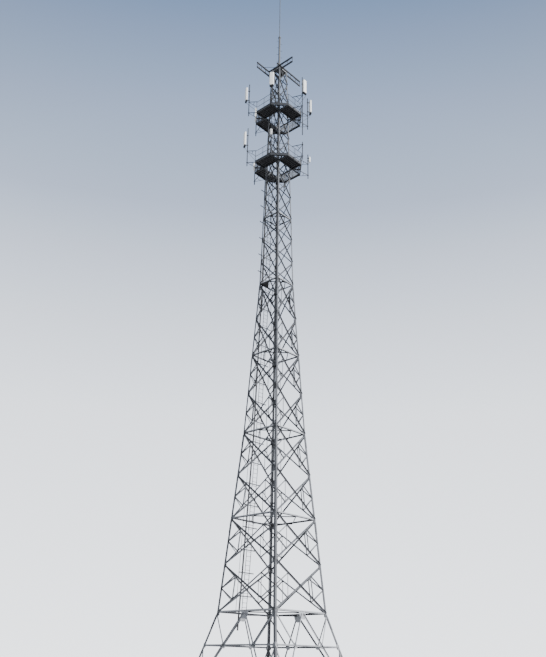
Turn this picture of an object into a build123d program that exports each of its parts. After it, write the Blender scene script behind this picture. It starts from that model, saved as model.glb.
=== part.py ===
from build123d import *
import math
import os

# A four-legged angle-steel lattice tower with two work platforms, as a 1:2 scale model.
# Sizes are millimetres of the model: the real tower is twice as large each way.
# The front side faces -Y and the right side +X. The origin is the centre of the underside
# of the front left base plate, and the tower's own axis stands inward of it.

# Heights of the tower's bends and of its work levels, from the ground
ring_height = 3000
waist_height = 9000
shoulder_height = 15000
head_height = 25780
belt_pitch = 3000
upper_deck_drop = 2630
deck_pitch = 2600

# Half of the tower's width at those heights, measured to the corners of the leg angles
base_half = 2100
ring_half = 1262
waist_half = 786
shoulder_half = 470
head_half = 250

# Leg angles, from the ground up: flange width and thickness
low_flange = 80
low_flange_thickness = 8
middle_flange = 62
middle_flange_thickness = 6
high_flange = 50
high_flange_thickness = 5

# Base plates and their anchor holes
plate_size = 260
plate_thickness = 15
plate_inset = 40
anchor_pitch = 190
anchor_radius = 10.5

# Bracing bars
brace_thickness = 12
belt_width = 60
brace_width = 52
light_brace_width = 34
small_brace_width = 40
corner_clearance = 24
zone_gap = 4
tall_panel = 1500
short_panel = 1000
portal_bar_height = 2025
portal_bar_width = 50
brace_foot = 1980
knee_height = 1010
gusset_width = 300
gusset_height = 220
joint_plate_width = 50
joint_plate_height = 100
plan_thickness = 20
plan_width = 32
diamond_turn = 45

# Ladder, cable rack and cables on the left side
rack_pitch = 750
rack_first_rise = 580
rack_bar_width = 25
rack_bar_thickness = 12
rack_back_reach = 325
rack_front_reach = 415
rack_overhang = 575
rack_high_reach = 265
rack_rail_width = 14
low_rail_place = 395
middle_rail_place = 380
high_rail_place = 240
low_cable_place = 220
shoulder_cable_place = 280
high_cable_place = 200
ladder_place = -20
ladder_width = 225
ladder_rail_width = 8
ladder_rail_depth = 20
rung_pitch = 150
rung_size = 12
cable_radius = 6
cable_pitch = 13
cable_count = 6
cable_end_drop = 500
cable_top_drop = 980
fit_gap = 0.3

# Rest platform inside the tower at the shoulder
rest_plate_thickness = 8
rest_plate_gap = 10

# Work platforms
deck_half = 950
deck_flat_half = 425
frame_beam_width = 30
frame_beam_height = 60
deck_thickness = 4
deck_lap = 5
stub_lap = 30
octagon_lean = math.tan(math.radians(22.5))
post_size = 16
post_inset = 10
rail_height = 540
middle_rail_height = 270

# Antenna brackets, poles and what they carry
pole_radius = 19
pole_reach = 1350
bracket_width = 20
bracket_half_width = 180
short_pole_drop = 220
short_pole_margin = 110
long_pole_drop = 1580
antenna_pole_margin = 260
radio_pole_margin = 120
antenna_width = 185
antenna_depth = 78
antenna_height = 740
antenna_corner = 20
antenna_stand = 75
clamp_width = 60
clamp_height = 40
clamp_inset = 90
upper_antenna_rise = 500
back_antenna_rise = 645
lower_antenna_rise = 715
radio_width = 90
radio_depth = 60
radio_height = 260
radio_rise = 640
radio_stand = 30
radio_clamp_inset = 40
rail_radio_drop = 190
long_radio_height = 680
short_radio_height = 370
jumper_radius = 6
jumper_bend = 45
jumper_pitch = 20
jumper_ring_half = 440
jumper_ring_count = 4
jumper_drop = 90
jumper_shift = 45
jumper_outer_reach = 1060
jumper_outer_rise = 130
jumper_inner_reach = 850

# Head frame and lightning rod
arm_width = 48
strut_width = 22
arm_rise = 250
arm_post_pitch = 310
right_arm_reach = 850
left_arm_reach = 550
back_arm_reach = 1330
front_arm_reach = 860
side_arm_place = 72
back_arm_place = 90
top_ring_width = 60
top_ring_thickness = 20
mast_radius = 45
mast_foot_half = 110
strut_reach = 490
strut_end_place = 80
mast_length = 2050
collar_radius = 62
collar_height = 50
rod_radius = 16
rod_length = 2650
rod_tip_length = 120
rod_taper = 6

upper_deck_height = head_height - upper_deck_drop
lower_deck_height = upper_deck_height - deck_pitch

taper = (
    (0, base_half),
    (ring_height, ring_half),
    (waist_height, waist_half),
    (shoulder_height, shoulder_half),
    (head_height, head_half),
)
axis_place = base_half - plate_inset
tower_axis = Vector(axis_place, axis_place, 0)
side_names = ("front", "right", "back", "left")
corner_names = ("front_left", "front_right", "back_right", "back_left")
front_side = 0
left_side = 3

os.makedirs("parts", exist_ok=True)


def save(piece, name):
    """Labels a finished piece and writes it under its own name."""
    piece.label = name
    export_step(piece, f"parts/{name}.step")


def save_all_round(piece, names, ending):
    """Writes a piece made at the front, and its copies on the tower's other three sides."""
    for quarter, name in enumerate(names):
        save(piece.rotate(Axis(tower_axis, (0, 0, 1)), 90 * quarter), f"{name}_{ending}")


def half_at(height):
    """Half of the tower's width at a height."""
    for (low, low_half), (high, high_half) in zip(taper, taper[1:]):
        if height <= high:
            return low_half + (high_half - low_half) * (height - low) / (high - low)
    return head_half


def slope_of(low, high):
    """Length along the leaning side for each unit of height."""
    return math.hypot(high - low, half_at(low) - half_at(high)) / (high - low)


def turned(vector, quarter):
    """A vector turned by quarters about the upright."""
    return vector.rotate(Axis.Z, 90 * quarter)


def side_plane(side, low, high, stand_off=0):
    """Plane of a leaning side: x along the side, y up its slope, z outwards."""
    along = turned(Vector(1, 0, 0), side)
    outward = turned(Vector(0, -1, 0), side)
    up = Vector(0, 0, high - low) - outward * (half_at(low) - half_at(high))
    foot = tower_axis + Vector(0, 0, low) + outward * half_at(low)
    return Plane(origin=foot, x_dir=along, z_dir=along.cross(up)).offset(stand_off)


def level_plane(height):
    """Level plane at a height, centred on the tower's axis."""
    return Plane(origin=tower_axis + Vector(0, 0, height))


def bar(start, end, width):
    """A straight bar between two points of the current sketch."""
    run = end[0] - start[0]
    rise = end[1] - start[1]
    with Locations(((start[0] + end[0]) / 2, (start[1] + end[1]) / 2)):
        Rectangle(math.hypot(run, rise), width, rotation=math.degrees(math.atan2(rise, run)))


def between(start, end, share):
    """The point a share of the way from one point to another."""
    return (start[0] + (end[0] - start[0]) * share, start[1] + (end[1] - start[1]) * share)


# Legs

leg_runs = (
    (plate_thickness - fit_gap, ring_height, low_flange, low_flange_thickness),
    (ring_height, waist_height, low_flange, low_flange_thickness),
    (waist_height, shoulder_height, middle_flange, middle_flange_thickness),
    (shoulder_height, head_height, high_flange, high_flange_thickness),
)


def heel(height):
    """Outer corner of the front left leg angle at a height."""
    half = half_at(height)
    return tower_axis + Vector(-half, -half, height)


with BuildPart() as leg:
    for low, high, flange, thickness in leg_runs:
        start = heel(low + fit_gap)
        run = heel(high) - start
        with BuildSketch(Plane(origin=start)):
            Rectangle(flange, flange, align=(Align.MIN, Align.MIN))
            with Locations((thickness, thickness)):
                Rectangle(flange, flange, align=(Align.MIN, Align.MIN), mode=Mode.SUBTRACT)
        extrude(amount=run.length, dir=run)
save_all_round(leg.part, corner_names, "leg")

with BuildPart() as base_plate:
    with BuildSketch():
        Rectangle(plate_size, plate_size)
        with GridLocations(anchor_pitch, anchor_pitch, 2, 2):
            Circle(anchor_radius, mode=Mode.SUBTRACT)
    extrude(amount=plate_thickness)
save_all_round(base_plate.part, corner_names, "base_plate")


# Portal bracing between the ground and the first belt

portal_slope = slope_of(0, ring_height)


def portal_spot(x, height):
    """A point of the portal's sketch at a distance from its middle and a height."""
    return (x, height * portal_slope)


with BuildPart() as portal:
    with BuildSketch(side_plane(front_side, 0, ring_height)):
        bar_half = half_at(portal_bar_height)
        brace_share = 1 - portal_bar_height / ring_height
        knee_share = 1 - knee_height / ring_height
        top = portal_spot(0, ring_height)
        bar(
            portal_spot(-bar_half, portal_bar_height), portal_spot(bar_half, portal_bar_height),
            portal_bar_width,
        )
        with Locations(top):
            Rectangle(gusset_width, gusset_height, align=(Align.CENTER, Align.MAX))
        for hand in (-1, 1):
            bar(top, portal_spot(hand * brace_foot, 0), portal_bar_width)
            crossing = portal_spot(hand * brace_foot * brace_share, portal_bar_height)
            knee = portal_spot(hand * brace_foot * knee_share, knee_height)
            bar(portal_spot(hand * ring_half, ring_height), crossing, small_brace_width)
            bar(portal_spot(hand * bar_half, portal_bar_height), knee, small_brace_width)
            bar(portal_spot(hand * half_at(knee_height), knee_height), knee, small_brace_width)
        low_edge = half_at(plate_thickness) - corner_clearance
        high_edge = half_at(ring_height) - corner_clearance
        low_place = plate_thickness + zone_gap
        high_place = ring_height * portal_slope - zone_gap
        Polygon(
            (-low_edge, low_place), (low_edge, low_place),
            (high_edge, high_place), (-high_edge, high_place),
            align=None, mode=Mode.INTERSECT,
        )
    extrude(amount=brace_thickness)
save_all_round(portal.part, side_names, "portal_bracing")


# Crossed bracing above the first belt

def crossed_panel(low, bottom, top, slope, width, light_bars):
    """One crossed panel of a side, with light bars from the legs where they are wanted."""
    bottom_half = half_at(bottom)
    top_half = half_at(top)
    bottom_place = (bottom - low) * slope
    top_place = (top - low) * slope
    for hand in (-1, 1):
        bar((hand * bottom_half, bottom_place), (-hand * top_half, top_place), width)
    if not light_bars:
        return
    crossing_share = bottom_half / (bottom_half + top_half)
    crossing = (0, bottom_place + (top_place - bottom_place) * crossing_share)
    middle_place = (bottom_place + top_place) / 2
    middle_half = (bottom_half + top_half) / 2
    for hand in (-1, 1):
        leg_middle = (hand * middle_half, middle_place)
        bar(leg_middle, between((hand * bottom_half, bottom_place), crossing, 0.5), light_brace_width)
        bar(leg_middle, between((hand * top_half, top_place), crossing, 0.5), light_brace_width)


def lattice_side(joints, belts, width, light_bars):
    """Crossed panels and belts of the front side from its lowest joint to its highest."""
    low = joints[0]
    high = joints[-1]
    slope = slope_of(low, high)
    with BuildPart() as lattice:
        with BuildSketch(side_plane(front_side, low, high)):
            for bottom, top in zip(joints, joints[1:]):
                crossed_panel(low, bottom, top, slope, width, light_bars)
            with Locations(*(
                (hand * (half_at(joint) - corner_clearance), (joint - low) * slope)
                for joint in joints for hand in (-1, 1)
            )):
                Rectangle(joint_plate_width, joint_plate_height)
            for belt in belts:
                with Locations((0, (belt - low) * slope)):
                    Rectangle(2 * half_at(belt), belt_width, align=(Align.CENTER, Align.MIN))
            low_edge = half_at(low) - corner_clearance
            high_edge = half_at(high) - corner_clearance
            length = (high - low) * slope - zone_gap
            Polygon(
                (-low_edge, 0), (low_edge, 0), (high_edge, length), (-high_edge, length),
                align=None, mode=Mode.INTERSECT,
            )
        extrude(amount=brace_thickness)
    return lattice.part


def joints_between(low, high, rise):
    """Panel joints from one height to another, the last panel as low as it has to be."""
    return [low + count * rise for count in range(math.ceil((high - low) / rise))] + [high]


lower_belts = (ring_height, ring_height + belt_pitch)
middle_belts = (waist_height, waist_height + belt_pitch)
upper_belts = (shoulder_height, shoulder_height + belt_pitch)
top_belt = head_height - belt_width
lower_joints = joints_between(ring_height, waist_height, tall_panel)
middle_joints = joints_between(waist_height, shoulder_height, tall_panel)
upper_joints = joints_between(shoulder_height, head_height, short_panel)
save_all_round(lattice_side(lower_joints, lower_belts, brace_width, True), side_names, "lower_bracing")
save_all_round(lattice_side(middle_joints, middle_belts, brace_width, True), side_names, "middle_bracing")
save_all_round(
    lattice_side(upper_joints, (*upper_belts, top_belt), small_brace_width, False),
    side_names, "upper_bracing",
)


# Level bracing that ties the middles of the four sides at each belt

def level_frames(belts):
    """Diamond-shaped level frames at the given belts."""
    with BuildPart() as frames:
        for belt in belts:
            reach = half_at(belt + plan_thickness)
            edge = reach * math.sqrt(2)
            with BuildSketch(level_plane(belt)):
                Rectangle(edge + plan_width, edge + plan_width, rotation=diamond_turn)
                Rectangle(edge - plan_width, edge - plan_width, rotation=diamond_turn, mode=Mode.SUBTRACT)
                Rectangle(2 * reach, 2 * reach, mode=Mode.INTERSECT)
            extrude(amount=plan_thickness)
    return frames.part


save(level_frames(lower_belts), "lower_level_frames")
save(level_frames(middle_belts), "middle_level_frames")
save(level_frames(upper_belts), "upper_level_frames")


# Cable rack, ladder and cables on the left side

rack_zones = (
    (ring_height, waist_height, low_rail_place),
    (waist_height, shoulder_height, middle_rail_place),
    (shoulder_height, head_height, high_rail_place),
)


def rack_span(height):
    """How far a rack bar reaches from the middle of the side, to the back and to the front."""
    if height > lower_deck_height:
        return rack_high_reach, rack_high_reach
    return rack_back_reach, rack_overhang if height > shoulder_height else rack_front_reach


with BuildPart() as cable_rack:
    for low, high, rail_place in rack_zones:
        slope = slope_of(low, high)
        length = (high - low) * slope - zone_gap
        bar_count = math.ceil((high - low - rack_first_rise) / rack_pitch)
        with BuildSketch(side_plane(left_side, low, high, brace_thickness)):
            for count in range(bar_count):
                rise = rack_first_rise + count * rack_pitch
                back_reach, front_reach = rack_span(low + rise)
                with Locations(((front_reach - back_reach) / 2, rise * slope)):
                    Rectangle(front_reach + back_reach, rack_bar_width)
            with Locations((rail_place, zone_gap)):
                Rectangle(rack_rail_width, length - zone_gap, align=(Align.CENTER, Align.MIN))
        extrude(amount=rack_bar_thickness)
save(cable_rack.part, "cable_rack")

with BuildPart() as ladder:
    for low, high, _ in rack_zones:
        slope = slope_of(low, high)
        length = (high - low) * slope - zone_gap
        rung_count = int(length / rung_pitch)
        rail_offset = (ladder_width - ladder_rail_width) / 2
        with BuildSketch(side_plane(left_side, low, high, brace_thickness + rack_bar_thickness)):
            with Locations((ladder_place - rail_offset, zone_gap), (ladder_place + rail_offset, zone_gap)):
                Rectangle(ladder_rail_width, length - zone_gap, align=(Align.CENTER, Align.MIN))
        extrude(amount=ladder_rail_depth)
        with BuildSketch(side_plane(left_side, low, high, brace_thickness + rack_bar_thickness + fit_gap)):
            with Locations((ladder_place, length / 2)):
                with GridLocations(0, rung_pitch, 1, rung_count):
                    Rectangle(ladder_width - ladder_rail_width, rung_size)
        extrude(amount=rung_size)
save(ladder.part, "climbing_ladder")


def rack_point(place, height, stand_off):
    """A point beside the left side at a height, a distance along it and outwards of it."""
    along = turned(Vector(1, 0, 0), left_side)
    outward = turned(Vector(0, -1, 0), left_side)
    return tower_axis + along * place + outward * (half_at(height) + stand_off) + Vector(0, 0, height)


cable_stand_off = brace_thickness + rack_bar_thickness + cable_radius + 2 * fit_gap
cable_top = head_height - cable_top_drop


def cable_shift(number):
    """How far a cable lies from the middle of its bundle."""
    return ((cable_count - 1) / 2 - number) * cable_pitch


def cable_route(shift):
    """Points of one cable from below the first belt up to the upper platform."""
    bottom = rack_point(low_cable_place + shift, ring_height, cable_stand_off)
    waist = rack_point(low_cable_place + shift, waist_height, cable_stand_off)
    shoulder = rack_point(shoulder_cable_place + shift, shoulder_height, cable_stand_off)
    top = rack_point(high_cable_place + shift, cable_top, cable_stand_off)
    tail = bottom - (waist - bottom).normalized() * cable_end_drop
    return [tail, waist, shoulder, top]


def feeder_point(number, height):
    """The middle of a cable at a height above the shoulder."""
    share = (height - shoulder_height) / (cable_top - shoulder_height)
    place = shoulder_cable_place + (high_cable_place - shoulder_cable_place) * share
    return rack_point(place + cable_shift(number), height, cable_stand_off)


with BuildPart() as feeder_cables:
    for number in range(cable_count):
        points = cable_route(cable_shift(number))
        with BuildLine() as path:
            Polyline(*points)
        with BuildSketch(Plane(origin=points[0], z_dir=points[1] - points[0])):
            Circle(cable_radius)
        sweep(path=path.line, transition=Transition.RIGHT)
save(feeder_cables.part, "feeder_cables")

with BuildPart() as rest_platform:
    rest_edge = half_at(shoulder_height + plan_thickness) - rest_plate_gap
    with BuildSketch(level_plane(shoulder_height + plan_thickness)):
        Polygon((-rest_edge, -rest_edge), (0, -rest_edge), (-rest_edge, 0), align=None)
    extrude(amount=rest_plate_thickness)
save(rest_platform.part, "rest_platform")


# Work platforms

def octagon(inset=0, **options):
    """Outline of a platform in the current sketch, drawn in by an inset."""
    far = deck_half - inset
    near = deck_flat_half - inset * octagon_lean
    Polygon(
        (near, -far), (far, -near), (far, near), (near, far),
        (-near, far), (-far, near), (-far, -near), (-near, -far),
        align=None, **options,
    )


def platform_frame(deck_height):
    """Edge ring, crossing beams and the stubs that hold them on the legs."""
    low = deck_height - deck_thickness - frame_beam_height
    tower_half = half_at(low)
    root = tower_half - stub_lap
    corner_middle = (deck_half + deck_flat_half) / 2 - frame_beam_width / 2
    with BuildPart() as frame:
        with BuildSketch(level_plane(low)):
            octagon()
            octagon(frame_beam_width, mode=Mode.SUBTRACT)
            for hand in (-1, 1):
                with Locations((hand * deck_flat_half, 0)):
                    Rectangle(frame_beam_width, 2 * deck_half - frame_beam_width)
                with Locations((0, hand * deck_flat_half)):
                    Rectangle(2 * deck_half - frame_beam_width, frame_beam_width)
                for way in (-1, 1):
                    corner = (hand * corner_middle, way * corner_middle)
                    bar((hand * root, way * root), corner, frame_beam_width)
            Rectangle(2 * tower_half, 2 * tower_half, mode=Mode.SUBTRACT)
        extrude(amount=frame_beam_height)
    return frame.part


def platform_deck(deck_height):
    """Deck plates: one along each side of the tower and one over the back left corner."""
    outer = deck_half - frame_beam_width + deck_lap
    with BuildPart() as deck:
        with BuildSketch(level_plane(deck_height - deck_thickness)):
            for turn in range(4):
                place = turned(Vector(0, -(deck_flat_half + outer) / 2, 0), turn)
                with Locations((place.X, place.Y)):
                    Rectangle(2 * (deck_flat_half - deck_lap), outer - deck_flat_half, rotation=90 * turn)
            with Locations((-deck_flat_half - deck_lap, deck_flat_half + deck_lap)):
                Rectangle(outer, outer, align=(Align.MAX, Align.MIN))
            octagon(frame_beam_width - deck_lap, mode=Mode.INTERSECT)
        extrude(amount=deck_thickness)
    return deck.part


rail_far = deck_half - post_inset
rail_near = deck_flat_half - post_inset * octagon_lean
rail_corner = (rail_far + rail_near) / 2
post_places = ((rail_near, -rail_far), (rail_far, -rail_near), (0, -rail_far), (rail_corner, -rail_corner))


def platform_railing(deck_height):
    """Posts and two rails round the edge of a platform."""
    with BuildPart() as railing:
        with BuildSketch(level_plane(deck_height - deck_thickness)):
            for turn in range(4):
                for x, y in post_places:
                    place = turned(Vector(x, y, 0), turn)
                    with Locations((place.X, place.Y)):
                        Rectangle(post_size, post_size)
        extrude(amount=rail_height + deck_thickness)
        for level in (middle_rail_height, rail_height):
            with BuildSketch(level_plane(deck_height + level - post_size)):
                octagon(post_inset - post_size / 2)
                octagon(post_inset + post_size / 2, mode=Mode.SUBTRACT)
            extrude(amount=post_size)
    return railing.part


def around(angle, reach, across=0):
    """A point of a level sketch at an angle from +X, a reach from the axis and a distance across."""
    turn = math.radians(angle)
    return (
        reach * math.cos(turn) - across * math.sin(turn),
        reach * math.sin(turn) + across * math.cos(turn),
    )


def pole_bracket(deck_height, angle, drop, rise):
    """Two pairs of arms that hold an upright pole outside a platform's edge."""
    pole_place = around(angle, pole_reach)
    frame_level = deck_height - deck_thickness - frame_beam_height
    rail_level = deck_height + rail_height - bracket_width
    for level, inset in ((frame_level, 0), (rail_level, post_inset - post_size / 2)):
        with BuildSketch(level_plane(level)) as arms:
            for hand in (-1, 1):
                foot = around(angle, deck_half - bracket_width, hand * bracket_half_width)
                bar(foot, pole_place, bracket_width)
            octagon(inset, mode=Mode.SUBTRACT)
        extrude(arms.sketch, amount=bracket_width)
    with BuildSketch(level_plane(deck_height - drop)) as pole:
        with Locations(pole_place):
            Circle(pole_radius)
    extrude(pole.sketch, amount=drop + rise)


def housing(angle, low, width, depth, height, corner, stand, inset):
    """A housing on the outer face of a pole, with its two clamps."""
    back = pole_reach + pole_radius + stand
    with BuildSketch(level_plane(low)) as body:
        with Locations(Location((*around(angle, back + depth / 2), 0), (0, 0, angle))):
            RectangleRounded(depth, width, corner)
    extrude(body.sketch, amount=height)
    for level in (low + inset, low + height - inset - clamp_height):
        with BuildSketch(level_plane(level)) as clamp:
            with Locations(Location((*around(angle, (pole_reach + back) / 2), 0), (0, 0, angle))):
                Rectangle(back - pole_reach, clamp_width)
            with Locations(around(angle, pole_reach)):
                Circle(pole_radius + fit_gap, mode=Mode.SUBTRACT)
        extrude(clamp.sketch, amount=clamp_height)


for platform_name, deck_height in (("lower", lower_deck_height), ("upper", upper_deck_height)):
    save(platform_frame(deck_height), f"{platform_name}_platform_frame")
    save(platform_deck(deck_height), f"{platform_name}_platform_deck")
    save(platform_railing(deck_height), f"{platform_name}_platform_railing")

# The six poles of a platform stand 60 degrees apart, named by the side that they are nearest to
right_pole = 0
back_right_pole = 60
back_left_pole = 120
left_pole = 180
front_left_pole = 240
front_right_pole = 300
railing_corner = 225

bare_rise = rail_height + short_pole_margin
radio_pole_rise = radio_rise + radio_height + radio_pole_margin
lower_antenna_pole_rise = lower_antenna_rise + antenna_height + antenna_pole_margin
upper_antenna_pole_rise = upper_antenna_rise + antenna_height + antenna_pole_margin

with BuildPart() as lower_brackets:
    pole_bracket(lower_deck_height, front_left_pole, short_pole_drop, lower_antenna_pole_rise)
    for angle in (front_right_pole, back_right_pole):
        pole_bracket(lower_deck_height, angle, short_pole_drop, radio_pole_rise)
    for angle in (right_pole, back_left_pole, left_pole):
        pole_bracket(lower_deck_height, angle, short_pole_drop, bare_rise)
save(lower_brackets.part, "lower_antenna_brackets")

with BuildPart() as upper_brackets:
    for angle in (front_left_pole, front_right_pole, back_right_pole):
        pole_bracket(upper_deck_height, angle, short_pole_drop, upper_antenna_pole_rise)
    pole_bracket(upper_deck_height, right_pole, long_pole_drop, upper_antenna_pole_rise)
    pole_bracket(upper_deck_height, left_pole, short_pole_drop, bare_rise)
save(upper_brackets.part, "upper_antenna_brackets")

# The antennas, in the order that their jumper cables run round the tower, the innermost first
antenna_places = (
    (back_right_pole, upper_deck_height, back_antenna_rise),
    (right_pole, upper_deck_height, upper_antenna_rise),
    (front_right_pole, upper_deck_height, upper_antenna_rise),
    (front_left_pole, upper_deck_height, upper_antenna_rise),
    (front_left_pole, lower_deck_height, lower_antenna_rise),
)

with BuildPart() as panel_antennas:
    for angle, deck_height, rise in antenna_places:
        housing(
            angle, deck_height + rise, antenna_width, antenna_depth, antenna_height,
            antenna_corner, antenna_stand, clamp_inset,
        )
save(panel_antennas.part, "panel_antennas")

with BuildPart() as radio_units:
    edge = (rail_corner + post_size / 2) * math.sqrt(2) + fit_gap
    for deck_height, height in (
        (upper_deck_height, long_radio_height), (lower_deck_height, short_radio_height),
    ):
        with BuildSketch(level_plane(deck_height - rail_radio_drop)) as body:
            middle = around(railing_corner, edge + radio_depth / 2)
            with Locations(Location((*middle, 0), (0, 0, railing_corner))):
                Rectangle(radio_depth, radio_width)
        extrude(body.sketch, amount=height)
    for angle in (front_right_pole, back_right_pole):
        housing(
            angle, lower_deck_height + radio_rise, radio_width, radio_depth, radio_height,
            antenna_corner, radio_stand, radio_clamp_inset,
        )
save(radio_units.part, "radio_units")


# Jumper cables from the antennas, over the deck and round the tower to the feeder cables

def jumper_route(number, angle, deck_height, low):
    """Points of one jumper cable, from under its antenna to the side of its feeder cable."""
    level = deck_height + jumper_radius + fit_gap
    ring = jumper_ring_half + number % jumper_ring_count * jumper_pitch
    start = around(angle, pole_reach + pole_radius + antenna_stand + antenna_depth / 2, jumper_shift)
    points = [
        Vector(*start, low),
        Vector(*start, low - jumper_drop),
        Vector(*around(angle, jumper_outer_reach, jumper_shift), deck_height + jumper_outer_rise),
        Vector(*around(angle, jumper_inner_reach, jumper_shift), level),
    ]
    if angle == back_right_pole:
        points.append(Vector(ring, ring, level))
    if angle == right_pole:
        points.append(Vector(ring, jumper_shift, level))
    if angle in (back_right_pole, right_pole):
        points.append(Vector(ring, -ring, level))
    if angle == front_right_pole:
        points.append(Vector(deck_flat_half - jumper_shift, -ring, level))
    points.append(Vector(-ring, -ring, level))
    feeder = feeder_point(number, level) - tower_axis
    points.append(Vector(-ring, feeder.Y, level))
    points.append(Vector(feeder.X - cable_radius - fit_gap, feeder.Y, level))
    return [tower_axis + point for point in points]


with BuildPart() as jumper_cables:
    for number, (angle, deck_height, rise) in enumerate(antenna_places):
        points = jumper_route(number, angle, deck_height, deck_height + rise)
        with BuildLine() as path:
            FilletPolyline(*points, radius=jumper_bend)
        with BuildSketch(Plane(origin=points[0], z_dir=points[1] - points[0])):
            Circle(jumper_radius)
        sweep(path=path.line)
save(jumper_cables.part, "jumper_cables")


# Head frame, mast and lightning rod

def double_arm(start, end):
    """Two parallel rails one above the other, with short posts between them."""
    length = math.hypot(end[0] - start[0], end[1] - start[1])
    foot = head_height + top_ring_thickness
    for level in (foot, foot + arm_rise):
        with BuildSketch(level_plane(level)) as rail:
            bar(start, end, arm_width)
        extrude(rail.sketch, amount=arm_width)
    post_count = round(length / arm_post_pitch)
    with BuildSketch(level_plane(foot)) as posts:
        for count in range(post_count + 1):
            share = (arm_width / 2 + count * (length - arm_width) / post_count) / length
            with Locations(between(start, end, share)):
                Rectangle(arm_width, arm_width)
    extrude(posts.sketch, amount=arm_rise)


with BuildPart() as head_frame:
    with BuildSketch(level_plane(head_height)):
        Rectangle(2 * head_half, 2 * head_half)
        Rectangle(2 * (head_half - top_ring_width), 2 * (head_half - top_ring_width), mode=Mode.SUBTRACT)
        Rectangle(2 * mast_foot_half, 2 * head_half)
    extrude(amount=top_ring_thickness)
    with BuildSketch(level_plane(head_height + top_ring_thickness + arm_rise)):
        bar((-left_arm_reach, -strut_reach), (-strut_end_place, -side_arm_place), strut_width)
    extrude(amount=strut_width)
    double_arm((-left_arm_reach, -side_arm_place), (right_arm_reach, -side_arm_place))
    double_arm((back_arm_place, -head_half), (back_arm_place, back_arm_reach))
    double_arm((-left_arm_reach, -front_arm_reach), (-left_arm_reach, head_half))
save(head_frame.part, "head_frame")

mast_foot = head_height + top_ring_thickness
mast_height = mast_foot + mast_length
with BuildPart() as mast:
    with BuildSketch(level_plane(mast_foot)):
        Circle(mast_radius)
    extrude(amount=mast_length)
    with BuildSketch(level_plane(mast_height - collar_height)):
        Circle(collar_radius)
    extrude(amount=collar_height)
save(mast.part, "mast")

with BuildPart() as lightning_rod:
    with BuildSketch(level_plane(mast_height)):
        Circle(rod_radius)
    extrude(amount=rod_length - rod_tip_length)
    with BuildSketch(level_plane(mast_height + rod_length - rod_tip_length)):
        Circle(rod_radius)
    extrude(amount=rod_tip_length, taper=rod_taper)
save(lightning_rod.part, "lightning_rod")
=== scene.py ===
import math

import bmesh
import bpy
from mathutils import Matrix, Vector


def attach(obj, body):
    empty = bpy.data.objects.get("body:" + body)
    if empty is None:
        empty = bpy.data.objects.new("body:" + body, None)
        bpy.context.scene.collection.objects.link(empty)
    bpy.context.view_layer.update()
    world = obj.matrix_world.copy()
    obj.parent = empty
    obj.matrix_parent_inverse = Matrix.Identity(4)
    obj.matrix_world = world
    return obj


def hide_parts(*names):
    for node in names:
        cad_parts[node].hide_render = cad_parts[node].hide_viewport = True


bl_info = {
    "name": "Lattice communications tower",
    "version": (1, 0, 0),
    "blender": (4, 5, 0),
    "location": "3D View > Sidebar > Tower",
    "description": "Angle-steel members, fasteners, platforms and antennas round the tower's frame",
    "category": "Object",
}

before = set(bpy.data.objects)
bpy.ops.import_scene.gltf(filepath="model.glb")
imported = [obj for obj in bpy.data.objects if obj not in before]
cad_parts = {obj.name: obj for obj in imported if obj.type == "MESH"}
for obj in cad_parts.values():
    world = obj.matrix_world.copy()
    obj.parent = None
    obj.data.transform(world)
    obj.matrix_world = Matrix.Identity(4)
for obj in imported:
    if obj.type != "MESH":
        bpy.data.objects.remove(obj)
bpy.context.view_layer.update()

# The tower's own shape, in metres of the 1:2 model. The axis is an upright line.
AXIS = Vector((2.06, 2.06, 0))
TO_RIGHT = Vector((1, 0, 0))
TO_BACK = Vector((0, 1, 0))
UP = Vector((0, 0, 1))
RING = 3.0
WAIST = 9.0
SHOULDER = 15.0
HEAD = 25.78
BELT_PITCH = 3.0
TAPER = ((0, 2.1), (RING, 1.262), (WAIST, 0.786), (SHOULDER, 0.47), (HEAD, 0.25))
SIDES = ("front", "right", "back", "left")
FRONT = 0
LEFT = 3
LOWER_DECK = 20.55
UPPER_DECK = 23.15
DECK_HALF = 0.95
DECK_FLAT = 0.425
DECK_THICKNESS = 0.004
BEAM_HEIGHT = 0.06
RAIL_HEIGHT = 0.54

# Directions of the platforms' six poles and of a railing corner, in degrees from the right side
RIGHT_POLE = 0
BACK_RIGHT_POLE = 60
BACK_LEFT_POLE = 120
LEFT_POLE = 180
FRONT_LEFT_POLE = 240
FRONT_RIGHT_POLE = 300
RAILING_CORNER = 225


def half_at(height):
    """Half of the tower's width at a height."""
    for (low, low_half), (high, high_half) in zip(TAPER, TAPER[1:]):
        if height <= high:
            return low_half + (high_half - low_half) * (height - low) / (high - low)
    return TAPER[-1][1]


def flange_at(height):
    """Width and thickness of a leg's flanges at a height."""
    if height < WAIST:
        return 0.08, 0.008
    return (0.062, 0.006) if height < SHOULDER else (0.05, 0.005)


def around(angle, reach, across=0, height=0):
    """A point at an angle from the right side, a reach from the axis and a distance across."""
    turn = math.radians(angle)
    return Vector((
        reach * math.cos(turn) - across * math.sin(turn),
        reach * math.sin(turn) + across * math.cos(turn),
        height,
    ))


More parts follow.
